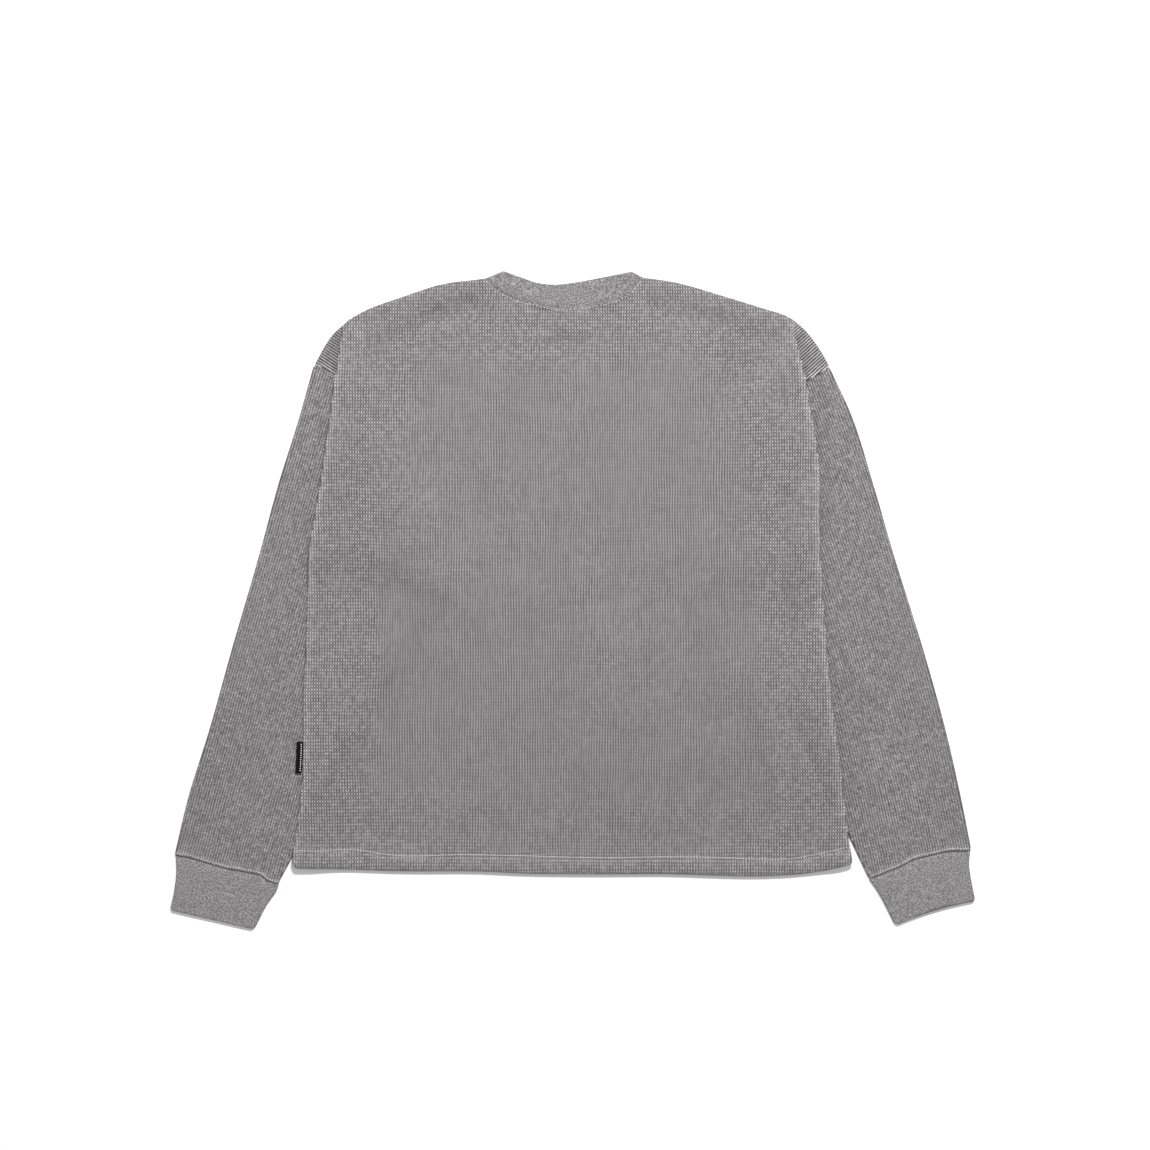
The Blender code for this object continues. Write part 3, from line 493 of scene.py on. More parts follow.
def plain(outline, across, down):
    """A plain grid over the outline's box, for a side that shows little."""
    (x0, y0), (x1, y1) = outline.min(axis=0), outline.max(axis=0)
    u, v = np.meshgrid(np.linspace(0, 1, across), np.linspace(0, 1, down))
    plan = np.column_stack([x0 + u.ravel() * (x1 - x0), y0 + v.ravel() * (y1 - y0)])
    return facing_up(Cover(plan, np.ones(len(plan)), np.zeros((len(plan), 3)), grid_triangles(down, across)))


def grid_triangles(rows, columns):
    number = np.arange(rows * columns).reshape(rows, columns)
    a, b, c, d = number[:-1, :-1], number[:-1, 1:], number[1:, 1:], number[1:, :-1]
    return np.vstack([np.stack(t, axis=-1).reshape(-1, 3) for t in ((a, b, c), (a, c, d))])


def facing_up(cover):
    """The cover with its triangles anticlockwise."""
    a, b, c = (cover.plan[cover.triangles[:, k]] for k in range(3))
    turn = np.sum((b[:, 0] - a[:, 0]) * (c[:, 1] - a[:, 1]) - (c[:, 0] - a[:, 0]) * (b[:, 1] - a[:, 1]))
    return cover if turn > 0 else cover._replace(triangles=cover.triangles[:, ::-1])


def clipped(cover, depth):
    """The part of a cover where depth is above 0, with the triangles that cross it cut."""
    inside = depth > 0
    count = inside[cover.triangles].sum(axis=1)
    one, two = cover.triangles[count == 1], cover.triangles[count == 2]
    one = rolled(one, inside[one].argmax(axis=1))
    two = rolled(two, (~inside[two]).argmax(axis=1))
    cut = np.vstack([one[:, [0, 1]], one[:, [0, 2]], two[:, [0, 1]], two[:, [0, 2]]])
    edges, number = np.unique(np.sort(cut, axis=1), axis=0, return_inverse=True)
    start, end = edges.T
    share = depth[start] / (depth[start] - depth[end])
    n, m = len(one), len(two)
    one_b, one_c, two_b, two_c = np.split(len(cover.plan) + number.reshape(-1), [n, 2 * n, 2 * n + m])
    triangles = np.vstack([cover.triangles[count == 3], np.column_stack([one[:, 0], one_b, one_c]),
                           np.column_stack([two_b, two[:, 1], two[:, 2]]),
                           np.column_stack([two_b, two[:, 2], two_c])])
    plan, level, knit = (np.concatenate([v, v[start] + (share * (v[end] - v[start]).T).T])
                         for v in (cover.plan, cover.level, cover.knit))
    used, triangles = np.unique(triangles, return_inverse=True)
    return Cover(plan[used], level[used], knit[used], triangles.reshape(-1, 3))


def rolled(triangles, first):
    """The same triangles, each starting at the corner whose place in it is given."""
    return np.take_along_axis(triangles, (first[:, None] + np.arange(3)) % 3, axis=1)


# ---- Faces ----

# edge is each point's painted light and shade, with some plain tone: darker above 0, lighter below.
Face = namedtuple("Face", "points triangles knit edge smooth")

PIT_DEPTH, RIB_DEPTH = 0.0004, 0.00022  # from a ridge down to the bottom of a pit, and from a rib
PIT_FADE = 0.002  # from the rim to where the pits have their full depth
STRAY = 0.2  # how far past ridge and pit a knit point's level may stray
FREE, FOLDED = 0.5, 0.25  # how far a rim turns round a free edge, and where two sides meet


def knit_face(cover, outline, surface, upper, half, turn, rim, soft=False, pit_depth=PIT_DEPTH, rings=3,
              dark=1.0, tone=0.0):
    """One side of a piece of cloth, cut a rim's width inside its outline, with the rounded rim.

    surface gives the level of the ridges from places and their depths in the outline. half is half the
    cloth's thickness at the rim, and turn how far the rim turns there: half a turn is a free edge, and a
    quarter reaches the middle, where the other side's rim meets it. dark is how far painted shade darkens
    the rim, a painted highlight below 0, and tone how far the face darkens, or lightens below 0, with
    painted light and shade and some plain tone. All four are numbers or functions of places."""
    cover = clipped(cover, depth_in(cover.plan, outline) - rim)
    away = -1 if upper else 1
    depth = depth_in(cover.plan, outline)
    level = surface(cover.plan, depth)
    low = 1 - np.clip(cover.level, -STRAY, 1 + STRAY)
    height = level + away * pit_depth * low * soft_step(depth, rim, PIT_FADE)
    points = [np.column_stack([cover.plan + ORIGIN, height])]
    triangles = cover.triangles if upper else cover.triangles[:, ::-1]
    edges = np.vstack([triangles[:, [0, 1]], triangles[:, [1, 2]], triangles[:, [2, 0]]])
    _, place, uses = np.unique(np.sort(edges, axis=1), axis=0, return_index=True, return_counts=True)
    border, edges = np.unique(edges[place[uses == 1]], return_inverse=True)
    a, b = edges.reshape(-1, 2).T
    base = cover.plan[border]
    out = nearest_on(base, outline) - base
    out *= rim / np.maximum(np.linalg.norm(out, axis=1, keepdims=True), TINY)
    half, turn, dark, rim_tone = (value(base) if callable(value) else np.full(len(base), value)
                                  for value in (half, turn, dark, tone))
    faces, before, count = [triangles], border, len(cover.plan)
    knit, edge = [cover.knit], [tone(cover.plan) if callable(tone) else np.full(count, tone)]
    for ring in range(1, rings + 1):
        angle = turn * 2 * np.pi * ring / rings
        z = level[border] + away * half * (1 - np.cos(angle))
        points.append(np.column_stack([base + out * np.sin(angle)[:, None] + ORIGIN, z]))
        after = count + np.arange(len(border))
        faces += [np.column_stack(corners) for corners in
                  ((before[b], before[a], after[a]), (before[b], after[a], after[b]))]
        before, count = after, count + len(border)
        knit.append(cover.knit[border])
        edge.append(rim_tone + (dark - rim_tone) * ring / rings)
    smooth_faces = np.concatenate([np.full(len(triangles), soft), np.ones(sum(map(len, faces[1:])), bool)])
    points = np.vstack(points)
    points[:, 2] = np.maximum(points[:, 2], 0.0)
    return Face(points, np.vstack(faces), np.vstack(knit), np.concatenate(edge), smooth_faces)


def add_piece(name, faces, finish, nodes=()):
    """A mesh object of several faces, which rides on the body and stands for CAD nodes."""
    points = np.vstack([face.points for face in faces])
    first = np.cumsum([0] + [len(face.points) for face in faces[:-1]])
    triangles = np.vstack([face.triangles + start for face, start in zip(faces, first)])
    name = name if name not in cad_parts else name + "_cloth"
    mesh = bpy.data.meshes.new(name)
    mesh.vertices.add(len(points))
    mesh.vertices.foreach_set("co", points.ravel())
    mesh.loops.add(triangles.size)
    mesh.loops.foreach_set("vertex_index", triangles.ravel())
    mesh.polygons.add(len(triangles))
    mesh.polygons.foreach_set("loop_start", np.arange(len(triangles)) * 3)
    mesh.polygons.foreach_set("use_smooth", np.concatenate([face.smooth for face in faces]))
    mesh.update(calc_edges=True)
    for key, kind, field in (("knit", "FLOAT_VECTOR", "vector"), ("edge", "FLOAT", "value")):
        values = np.concatenate([getattr(face, key) for face in faces])
        mesh.attributes.new(key, kind, "POINT").data.foreach_set(field, values.ravel())
    mesh.materials.append(finish)
    piece = bpy.data.objects.new(name, mesh)
    bpy.context.scene.collection.objects.link(piece)
    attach(piece, "root")
    if nodes:
        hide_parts(*nodes)
    return piece


# ---- Finishes ----


class Nodes:
    """Builds one material's node tree."""

    def __init__(self, name):
        self.material = bpy.data.materials.new(name)
        self.material.use_nodes = True
        self.tree = self.material.node_tree
        self.shader = self.tree.nodes["Principled BSDF"]
        self.place = self.add("ShaderNodeTexCoord").outputs["Object"]

    def add(self, kind, **settings):
        node = self.tree.nodes.new(kind)
        for key, value in settings.items():
            setattr(node, key, value)
        return node

    def link(self, output, target):
        self.tree.links.new(output, target)

    def noise(self, scale, detail=2.0):
        """Noise with about that many blotches for each metre, from 0 to 1."""
        node = self.add("ShaderNodeTexNoise")
        node.inputs["Scale"].default_value = scale
        node.inputs["Detail"].default_value = detail
        self.link(self.place, node.inputs["Vector"])
        return node.outputs["Fac"]

    def ramp(self, value, *stops):
        """Colours or greys by value. stops are (position, colour)."""
        node = self.add("ShaderNodeValToRGB")
        elements = node.color_ramp.elements
        while len(elements) < len(stops):
            elements.new(0.5)
        for element, (position, colour) in zip(elements, stops):
            element.position = position
            element.color = (*colour, 1) if hasattr(colour, "__len__") else (colour, colour, colour, 1)
        self.link(value, node.inputs["Fac"])
        return node.outputs["Color"]

    def multiply(self, first, second):
        node = self.add("ShaderNodeMix", data_type="RGBA", blend_type="MULTIPLY")
        node.inputs["Factor"].default_value = 1
        self.link(first, node.inputs["A"])
        self.link(second, node.inputs["B"])
        return node.outputs["Result"]

    def maths(self, operation, *values):
        """A Math node on numbers or outputs."""
        node = self.add("ShaderNodeMath", operation=operation)
        for socket, value in zip(node.inputs, values):
            if isinstance(value, (int, float)):
                socket.default_value = value
            else:
                self.link(value, socket)
        return node.outputs[0]

    def times(self, *values):
        return self.maths("MULTIPLY", *values)

    def scaled(self, value, gain, start):
        return self.maths("MULTIPLY_ADD", value, gain, start)

    def wave(self, value):
        """1 at whole numbers and 0 halfway between them."""
        return self.scaled(self.maths("COSINE", self.times(value, 2 * np.pi)), 0.5, 0.5)

    def attribute(self, name, output):
        return self.add("ShaderNodeAttribute", attribute_name=name).outputs[output]

    def by_stitch(self, across, along_ridge):
        """A random number for each crossing of a wale and a row."""
        cell = self.add("ShaderNodeCombineXYZ")
        self.link(self.maths("FLOOR", across), cell.inputs[0])
        self.link(self.maths("FLOOR", along_ridge), cell.inputs[1])
        white = self.add("ShaderNodeTexWhiteNoise")
        self.link(cell.outputs[0], white.inputs["Vector"])
        return white.outputs["Value"]

    def between(self, share, at_zero, at_one):
        """The value at_zero where share is 0 and at_one where it is 1."""
        rest = self.maths("SUBTRACT", 1.0, share)
        return self.maths("ADD", self.times(share, at_one), self.times(rest, at_zero))

    def bump(self, value, height):
        node = self.add("ShaderNodeBump")
        node.inputs["Strength"].default_value = 1
        node.inputs["Distance"].default_value = height
        self.link(value, node.inputs["Height"])
        self.link(node.outputs["Normal"], self.shader.inputs["Normal"])


YARN_STOPS = (0.32, 0.50, 0.68)  # the yarn noise's values where its fibres are dark, middle and light
PATCH_SCALE, PATCHES = 14.0, ((0.35, 0.985), (0.65, 1.012))  # broad patches of slightly uneven tone
EDGE_LIGHT, EDGE_SHADE, RIB_SHADE = 1.30, 0.40, 0.86  # tones where "edge" is -1 and 1, its painted light and painted shade, and the painted shade between ribs
STITCH_DARK = 0.65  # the shade of the darkest single stitches
CALM, CALM_SCALE, CALM_STOPS = 0.3, 24.0, (0.42, 0.68)  # how far a waffle's contrast falls in calm patches
CALM_TONE = 0.45  # what the tones come nearer to there
# The painted shades of a waffle's crossings and of its bars between ridges, and how a line-like knit changes
# them.
CROSSING_TONE, LINE_GAIN = 0.19, 0.69
FILLING_TONE, FILLING_LOSS = 0.40, 0.30
FUZZ_SCALE, FUZZ_HEIGHT = 2.6, 0.00018  # the yarn's fuzz: how much finer than its fibres, and how high
GRAIN_SHADES, GRAIN_BUMP_SCALE = ((0.3, 0.75), (0.7, 1.25)), 1.7  # thread and tape, and their finer relief


def waffle_shade(nodes, knit_shades):
    """Painted shade of the waffle's relief by the place in it, dark in the pits, and a random tone by the
    single stitch.
    """
    place = nodes.add("ShaderNodeSeparateXYZ")
    nodes.link(nodes.attribute("knit", "Vector"), place.inputs[0])
    across, along_ridge, line = place.outputs
    bar = nodes.wave(along_ridge)
    on_ridge = nodes.between(bar, 1.0, nodes.scaled(line, LINE_GAIN, CROSSING_TONE))
    off_ridge = nodes.between(bar, 0.0, nodes.scaled(line, -FILLING_LOSS, FILLING_TONE))
    calm = nodes.ramp(nodes.noise(CALM_SCALE), (CALM_STOPS[0], 0.0), (CALM_STOPS[1], CALM))
    tone = nodes.between(calm, nodes.between(nodes.wave(across), off_ridge, on_ridge), CALM_TONE)
    stitch = nodes.ramp(nodes.by_stitch(across, along_ridge), (0.0, STITCH_DARK), (1.0, 1.0))
    return nodes.multiply(stitch, nodes.ramp(tone, *zip((0.0, 0.5, 1.0), knit_shades)))


# Painted shade between the ribs.
def rib_shade(nodes):
    across = nodes.add("ShaderNodeSeparateXYZ")
    nodes.link(nodes.attribute("knit", "Vector"), across.inputs[0])
    return nodes.ramp(nodes.wave(across.outputs[0]), (0.0, RIB_SHADE), (1.0, 1.0))


def heather(name, dark, middle, light, yarn, knit_shades=None):
    """Melange yarn of dark, middle and light fibres. knit_shades are the painted shades of a waffle's pits,
    of what lies between, and of its crests; without them the cloth is ribbed, with painted shade between
    ribs."""
    nodes = Nodes(name)
    colour = nodes.ramp(nodes.noise(yarn), *zip(YARN_STOPS, (dark, middle, light)))
    colour = nodes.multiply(colour, nodes.ramp(nodes.noise(PATCH_SCALE), *PATCHES))
    # Painted light and shade, and some plain tone, from the "edge" attribute.
    edge = nodes.scaled(nodes.attribute("edge", "Fac"), 0.5, 0.5)
    colour = nodes.multiply(colour, nodes.ramp(edge, (0.0, EDGE_LIGHT), (0.5, 1.0), (1.0, EDGE_SHADE)))
    shade = waffle_shade(nodes, knit_shades) if knit_shades else rib_shade(nodes)
    nodes.link(nodes.multiply(colour, shade), nodes.shader.inputs["Base Color"])
    nodes.bump(nodes.noise(yarn * FUZZ_SCALE), FUZZ_HEIGHT)
    nodes.shader.inputs["Roughness"].default_value = 0.93
    nodes.shader.inputs["Sheen Weight"].default_value = 0.12
    nodes.shader.inputs["Sheen Roughness"].default_value = 0.6
    return nodes.material


def plain_finish(name, colour, roughness, grain, grain_height):
    """A plain thread or tape: one colour with a fine uneven grain."""
    nodes = Nodes(name)
    stops = [(stop, tuple(shade * part for part in colour)) for stop, shade in GRAIN_SHADES]
    nodes.link(nodes.ramp(nodes.noise(grain), *stops), nodes.shader.inputs["Base Color"])
    nodes.bump(nodes.noise(grain * GRAIN_BUMP_SCALE, 1.0), grain_height)
    nodes.shader.inputs["Roughness"].default_value = roughness
    nodes.shader.inputs["Specular IOR Level"].default_value = 0.15
    return nodes.material


# The waffle finishes end with the painted shades of pits, of what lies between, and of crests.
WAFFLE_FINISH = heather("waffle_knit", (0.504, 0.483, 0.4915), (0.585, 0.5605, 0.571), (0.676, 0.654, 0.663),
                        700.0, (0.0, 0.5, 1.0))
SLEEVE_FINISH = heather("waffle_knit_sleeve", (0.343, 0.319, 0.325), (0.575, 0.534, 0.546),
                        (0.887, 0.834, 0.850), 700.0, (0.16, 0.42, 0.74))
COLLAR_FINISH = heather("rib_knit", (0.102, 0.099, 0.101), (0.213, 0.206, 0.211), (0.408, 0.396, 0.405),
                        660.0)
CUFF_FINISH = heather("rib_knit_cuff", (0.117, 0.110, 0.112), (0.230, 0.217, 0.221), (0.418, 0.399, 0.404),
                      670.0)
HIDDEN_FINISH = heather("waffle_knit_hidden", (0.12, 0.113, 0.115), (0.20, 0.192, 0.195),
                        (0.31, 0.296, 0.30), 620.0)
THREAD_FINISH = plain_finish("sewing_thread", (0.58, 0.56, 0.565), 0.75, 1800.0, 0.0001)
TAPE_FINISH = plain_finish("woven_tape", (0.003, 0.003, 0.004), 0.8, 2600.0, 0.00004)
TAPE_LIGHT_FINISH = plain_finish("woven_tape_light", (0.90, 0.88, 0.86), 0.6, 2600.0, 0.00008)

# ---- Body panels ----

# A BAND holds how far from a line its middle lies, and its half width. A FADE holds how far from a line
# something ends, and the width of its soft end.

WAFFLE, RIB = 0.0016, 0.0019  # thickness of the waffle and of the doubled rib
RIM = 0.0012
EDGE_ROLL, EDGE_ROLL_WIDTH = 0.0014, 0.0060
FOLD_HALF = 0.0022  # half the thickness at the sides, where the cloth turns under
NECK_RIDGE, NECK_BAND = 0.0005, (0.0022, 0.0018)
HEM_RIDGE, HEM_BAND = 0.0005, (0.008, 0.006)
SEAM_GAP = 0.0040  # between the two lines of the hem's coverstitch
STITCH_PULL, STITCH_BAND = (0.0006, 0.0003), (0, 0.0013)  # how far each line draws the cloth in
SIDE_PAINTED_HIGHLIGHT, SIDE_HIGHLIGHT_BAND = 0.85, (0.0032, 0.0034)  # painted highlight where the cloth turns under at a side, and its band
HEM_LIGHT, HEM_FADE = 0.10, (0.012, 0.006)  # how much lighter the hem is, and where that ends
SIDE_FADE = 0.002, 0.003  # where the rim of the sides ends
NECK_FADE, NECK_SHADE = (0.002, 0.002), 0.3  # where the rim at the neck ends, and how dark its painted shade is there
INSIDE_RIM, INSIDE_HALF, INSIDE_TURN = 0.0025, 0.0002, 0.01  # the inner side ends short of the rim, flat
INSIDE_GRID = 56, 60
FRONT_INSET = 0.003  # how much smaller the front panel shows than its outline
# The body's grain swings in several waves each way, about this long, each with a share of the whole swing.
GRAIN_REACH, GRAIN_SWING, GRAIN_WAVES, WAVE_SHARE, GRAIN_SEED = 0.16, 0.0007, 6, 0.4, 3

NECK_CURVE = curve(BACK_NECK, NECK_POINTS)
BACK_OUTLINE = body_outline(NECK_CURVE)
FRONT_OUTLINE = body_outline(front_neck())
HEM_CURVE = BACK_OUTLINE[:EDGE_POINTS]
BODY_SIDE = {side: side_curve(side) for side in ("left", "right")}
HEM_STITCH_POINTS = 90
COVERSTITCH = [curve(HEM_SEAM, HEM_STITCH_POINTS) - (0, down) for down in (0, SEAM_GAP)]


def straight_grain(uv):
    """The body's grain, up and down, with the small swings of cloth that was laid by hand."""
    waves = np.random.default_rng(GRAIN_SEED)
    moved = uv.copy()
    for axis in (0, 1):
        for _ in range(GRAIN_WAVES):
            way = waves.normal(0, 1, 2) * 2 * np.pi / GRAIN_REACH
            moved[:, axis] += GRAIN_SWING * WAVE_SHARE * np.sin(uv @ way + waves.uniform(0, 2 * np.pi))
    return moved


def panel_cover(outline):
    """Waffle cells over the outline's box."""
    return waffle(*zip(outline.min(axis=0), outline.max(axis=0)), straight_grain)


def back_surface(height):
    """The back panel's upper side: its solid's height, creases, rolled edges, hem and neck seam."""

    def surface(plan, depth):
        level = height(plan) + creases(plan, BACK_CREASES)
        level = level - EDGE_ROLL * (1 - np.clip(depth / EDGE_ROLL_WIDTH, 0, 1)) ** 2
        for line, pull in zip(COVERSTITCH, STITCH_PULL):
            level = level - pull * hump(to_line(plan, line), *STITCH_BAND)
        level = level + HEM_RIDGE * hump(to_line(plan, HEM_CURVE), *HEM_BAND)
        return level + NECK_RIDGE * hump(to_line(plan, NECK_CURVE), *NECK_BAND)

    return surface


def make_back_panel():
    height = Height("back_panel")
    in_hem, at_neck = near(HEM_CURVE, *HEM_FADE), near(NECK_CURVE, *NECK_FADE)

    def to_side(plan):
        return np.minimum(*(to_line(plan, side) for side in BODY_SIDE.values()))

    def at_side(plan):
        return 1 - soft_step(to_side(plan), *SIDE_FADE)

    # The rim's painted shade, turned into a painted highlight at the sides and weaker at the neck.
    def dark(plan):
        return np.minimum(1 - (1 + SIDE_PAINTED_HIGHLIGHT) * at_side(plan), NECK_SHADE + 1 - at_neck(plan))

    # Painted light and shade of the relief, the painted highlight along the sides, and a lighter hem.
    def tone(plan):
        light = SIDE_PAINTED_HIGHLIGHT * hump(to_side(plan), *SIDE_HIGHLIGHT_BAND) + HEM_LIGHT * in_hem(plan)
        return creases(plan, BACK_PAINTED_SHADING) - light

    half, turn = blend(WAFFLE / 2, FOLD_HALF, at_side), blend(FREE, FOLDED, at_side)
    faces = [knit_face(panel_cover(BACK_OUTLINE), BACK_OUTLINE, back_surface(height), True, half, turn, RIM,
                       dark=dark, tone=tone)]
    faces += [make_shoulder_strip(side, height) for side in BODY_SIDE]
    return add_piece("back_panel", faces, WAFFLE_FINISH, ["back_panel"])


STRIP_LEVEL, STRIP_DROP = 0.0038, 0.0012  # the strip's upper side, and how far it stays below the body's
STRIP_COVER, STRIP_UNDER, STRIP_LAP = 0.036, 0.006, 0.001  # its width on the armhole seam, and its laps
STRIP_SPANS = (-0.08, 0.08), (-0.03, 0.07)  # what its knit covers across and along its ridges
STRIP_GRAIN = {"left": np.radians(33), "right": np.radians(42)}  # how steeply its ridges run down inwards
STRIP_PITS = 0.0009  # how deep its stretched pits are
STRIP_SHADE = {"left": 0.27, "right": 0.18}  # how much darker it is than the body
STRIP_SEAM_HIGHLIGHT = {"left": 0.3, "right": 0.9}  # the painted highlight along the ridge of the armhole seam
STRIP_HIGHLIGHT_BAND, STRIP_SEAM_BAND = (0.0020, 0.0014), (0.0028, 0.0018)
# Painted shade beside the body's fold edge, and its band.
STRIP_FOLD_SHADE, STRIP_FOLD_BAND = 0.3, (0, 0.008)
# How dark the rim's painted shade is at the armhole seam, and where it reaches its full darkness.
STRIP_EDGE_SHADE, STRIP_EDGE_FADE = 0.1, (0.001, 0.002)
SEAM_LIFT, SEAM_LAP = 0.0007, 0.0028  # a seam's ridge, and how far the cloth under it reaches past it
STRIP_SEAM_POINTS = 10
OUTWARDS = {"left": -1, "right": 1}


def make_shoulder_strip(side, height):
    """The shoulder outside the fold edge. Its ridges run along the armhole seam."""
    outer, armhole = curve(SHOULDER_END[side], END_POINTS), SLEEVE[side][0]
    seam = section_places(armhole, np.linspace(0, STRIP_COVER / width_of(armhole), STRIP_SEAM_POINTS))
    under = np.array([OUTWARDS[side] * STRIP_UNDER, 0])
    fold = BODY_SIDE[side]
    fold = fold[fold[:, 1] > seam[-1, 1]][:-2] - under
    outline = anticlockwise(np.vstack([outer, seam[1:], fold, outer[:1] - under + (0, STRIP_LAP)]))
    ridge = np.array([-OUTWARDS[side] * np.cos(STRIP_GRAIN[side]), -np.sin(STRIP_GRAIN[side])])
    across = np.array([-ridge[1], ridge[0]])
    half_gap = 0.5 * np.linalg.norm(outer[0] - seam[0])

    def to_plan(uv):
        return seam[0] + uv[:, :1] * across + uv[:, 1:] * ridge

    def surface(plan, depth):
        level = STRIP_LEVEL - EDGE_ROLL * (1 - np.clip(to_line(plan, outer) / EDGE_ROLL_WIDTH, 0, 1)) ** 2
        level += SEAM_LIFT * hump(to_line(plan, seam), *STRIP_SEAM_BAND)
        blend = soft_step(plan[:, 1], outer[0, 1] - half_gap, half_gap)
        return level + blend * np.maximum(height(plan) - STRIP_DROP - level, 0)

    # Darker than the body, with painted shade beside the fold edge and a painted highlight along the armhole
    # seam.
    def tone(plan):
        at_fold = STRIP_FOLD_SHADE * hump(to_line(plan, BODY_SIDE[side]), *STRIP_FOLD_BAND)
        return STRIP_SHADE[side] + at_fold - STRIP_SEAM_HIGHLIGHT[side] * hump(to_line(plan, seam), *STRIP_HIGHLIGHT_BAND)

    # The rim's painted shade, weaker at the armhole seam.
    def dark(plan):
        return STRIP_EDGE_SHADE + (1 - STRIP_EDGE_SHADE) * soft_step(to_line(plan, seam), *STRIP_EDGE_FADE)

    cover = waffle(*STRIP_SPANS, to_plan, BOLD, bars=True)
    return knit_face(cover, outline, surface, True, WAFFLE / 2, FREE, RIM, pit_depth=STRIP_PITS, dark=dark,
                     tone=tone)


def make_back_inside():
    """The inner side of the back panel, which shows through the neck."""
    height = Height("back_panel", upper=False)
    cover = plain(BACK_OUTLINE, *INSIDE_GRID)
    face = knit_face(cover, BACK_OUTLINE, lambda plan, depth: height(plan), False, INSIDE_HALF, INSIDE_TURN,
                     INSIDE_RIM, soft=True, rings=1)
    return add_piece("back_panel_inside", [face], HIDDEN_FINISH)


def make_front_panel():
    """The panel on the surface, seen from below, with its waffle cells and the lower neckline."""
    height = Height("front_panel", upper=False, soften=1.2)
    face = knit_face(panel_cover(FRONT_OUTLINE), inset_outline(FRONT_OUTLINE, FRONT_INSET),
                     lambda plan, depth: np.maximum(height(plan), 0.0), False, WAFFLE / 2, FREE, RIM)
    return add_piece("front_panel", [face], WAFFLE_FINISH, ["front_panel"])


# ---- Sleeves and cuffs ----

SLEEVE_STACK, CUFF_STACK, COLLAR_STACK = 0.0038, 0.0042, 0.0041  # both layers, where the cloth turns
SLEEVE_RIM = 0.0019
SLEEVE_SPAN, GRAIN_BEYOND = (-0.02, 0.235), 0.06  # what the knit covers across the sleeve, and past its ends
LAP_DROP, LAP_WIDTH = 0.0016, 0.004  # how far below a cuff's seam the cloth under it goes
ARMHOLE_DROP, ARMHOLE_WIDTH = {"left": 0.0001, "right": 0.0006}, 0.005
SEAM_EDGE = 0.0009  # half the thickness of a seam's edge
CUFF_SEAM_LIFT, CUFF_SEAM_BAND = 0.0010, (0.0026, 0.0017)  # the ridge along a cuff's seam
SEAM_PAINTED_HIGHLIGHT, SEAM_HIGHLIGHT_BAND = 0.8, (0.0026, 0.0014)  # the painted highlight along the ridge of a cuff's seam, and its band
# How much less the rim's painted shade darkens at the cuff seam, and where that ends.
SEAM_RIM_LIGHT, SEAM_FADE = 0.45, (0.002, 0.002)
BODY_SHADE, BODY_SHADE_BAND = {"left": 0.04, "right": 0.12}, (0, 0.016)  # painted shade on the sleeve beside the body's sides, and its band
SEAM_POINTS, ARMHOLE_POINTS = 20, 8


def grain_of(sections):
    """The sleeve's grain, from (across, along) on a gentle curve near its outer fold, and its length."""
    rows = np.array([section[:2] for section in (sections[0], sections[len(sections) // 2], sections[-1])])
    way = way_along(rows)
    x_of, y_of = (np.polyfit(way, rows[:, axis], 2) for axis in (0, 1))
    inward = 1 if rows[0, 0] < 0 else -1

    def to_plan(uv):
        u, v = uv.T
        slope = np.column_stack([np.polyval(np.polyder(x_of), v), np.polyval(np.polyder(y_of), v)])
        slope /= np.linalg.norm(slope, axis=1, keepdims=True)
        normal = np.column_stack([-slope[:, 1], slope[:, 0]]) * inward
        return np.column_stack([np.polyval(x_of, v), np.polyval(y_of, v)]) + u[:, None] * normal

    return to_plan, way[-1]


def lapped(sections):
    """A section a seam's lap before the first, on the way back from the second."""
    first, second = (np.reshape(section[:4], (2, 2)) for section in sections[:2])
    back = first - second
    return Section(*(first + back * SEAM_LAP / np.hypot(*back.T)[:, None]).ravel(), sections[0].bow)


def make_sleeve(side):
    """A flattened waffle tube. Its ridges follow its outer fold; it is raised along the cuff seam and a
    little lower along the armhole.
    """
    name, sections = "sleeve_" + side, SLEEVE[side]
    cuff = curve(CUFF_SEAM[side], SEAM_POINTS)
    armhole = section_places(sections[0], np.linspace(0, 1, ARMHOLE_POINTS))
    outline = tube_outline([lapped(sections), *sections], cuff)
    to_plan, length = grain_of(sections)
    top, at_cuff, at_armhole = Height(name), near(cuff, *SEAM_FADE), near(armhole, 0.0, ARMHOLE_WIDTH)
    half = blend(SLEEVE_STACK / 2, SEAM_EDGE, at_cuff)

    def upper_surface(plan, depth):
        level = top(plan) + creases(plan, SLEEVE_CREASES)
        level += CUFF_SEAM_LIFT * hump(to_line(plan, cuff), *CUFF_SEAM_BAND)
        return level - ARMHOLE_DROP[side] * at_armhole(plan)

    # The rim's painted shade, weaker at the cuff seam.
    def dark(plan):
        return 1 - SEAM_RIM_LIGHT * at_cuff(plan)

    # Painted light and shade of the relief, painted shade beside the body's sides, and a painted highlight
    # along the cuff seam.
    def tone(plan):
        beside = hump(to_line(plan, BODY_SIDE[side]), *BODY_SHADE_BAND)
        seam = hump(to_line(plan, cuff), *SEAM_HIGHLIGHT_BAND)
        return creases(plan, SLEEVE_PAINTED_SHADING) + BODY_SHADE[side] * beside - SEAM_PAINTED_HIGHLIGHT * seam

    faces = []
    for surface, upper in ((upper_surface, True), (on_floor, False)):
        cover = waffle(SLEEVE_SPAN, (-GRAIN_BEYOND, length + GRAIN_BEYOND), to_plan, LINES, bars=upper)
        faces.append(knit_face(cover, outline, surface, upper, half, FOLDED, SLEEVE_RIM, dark=dark,
                               tone=tone))
    return add_piece(name, faces, SLEEVE_FINISH, [name])


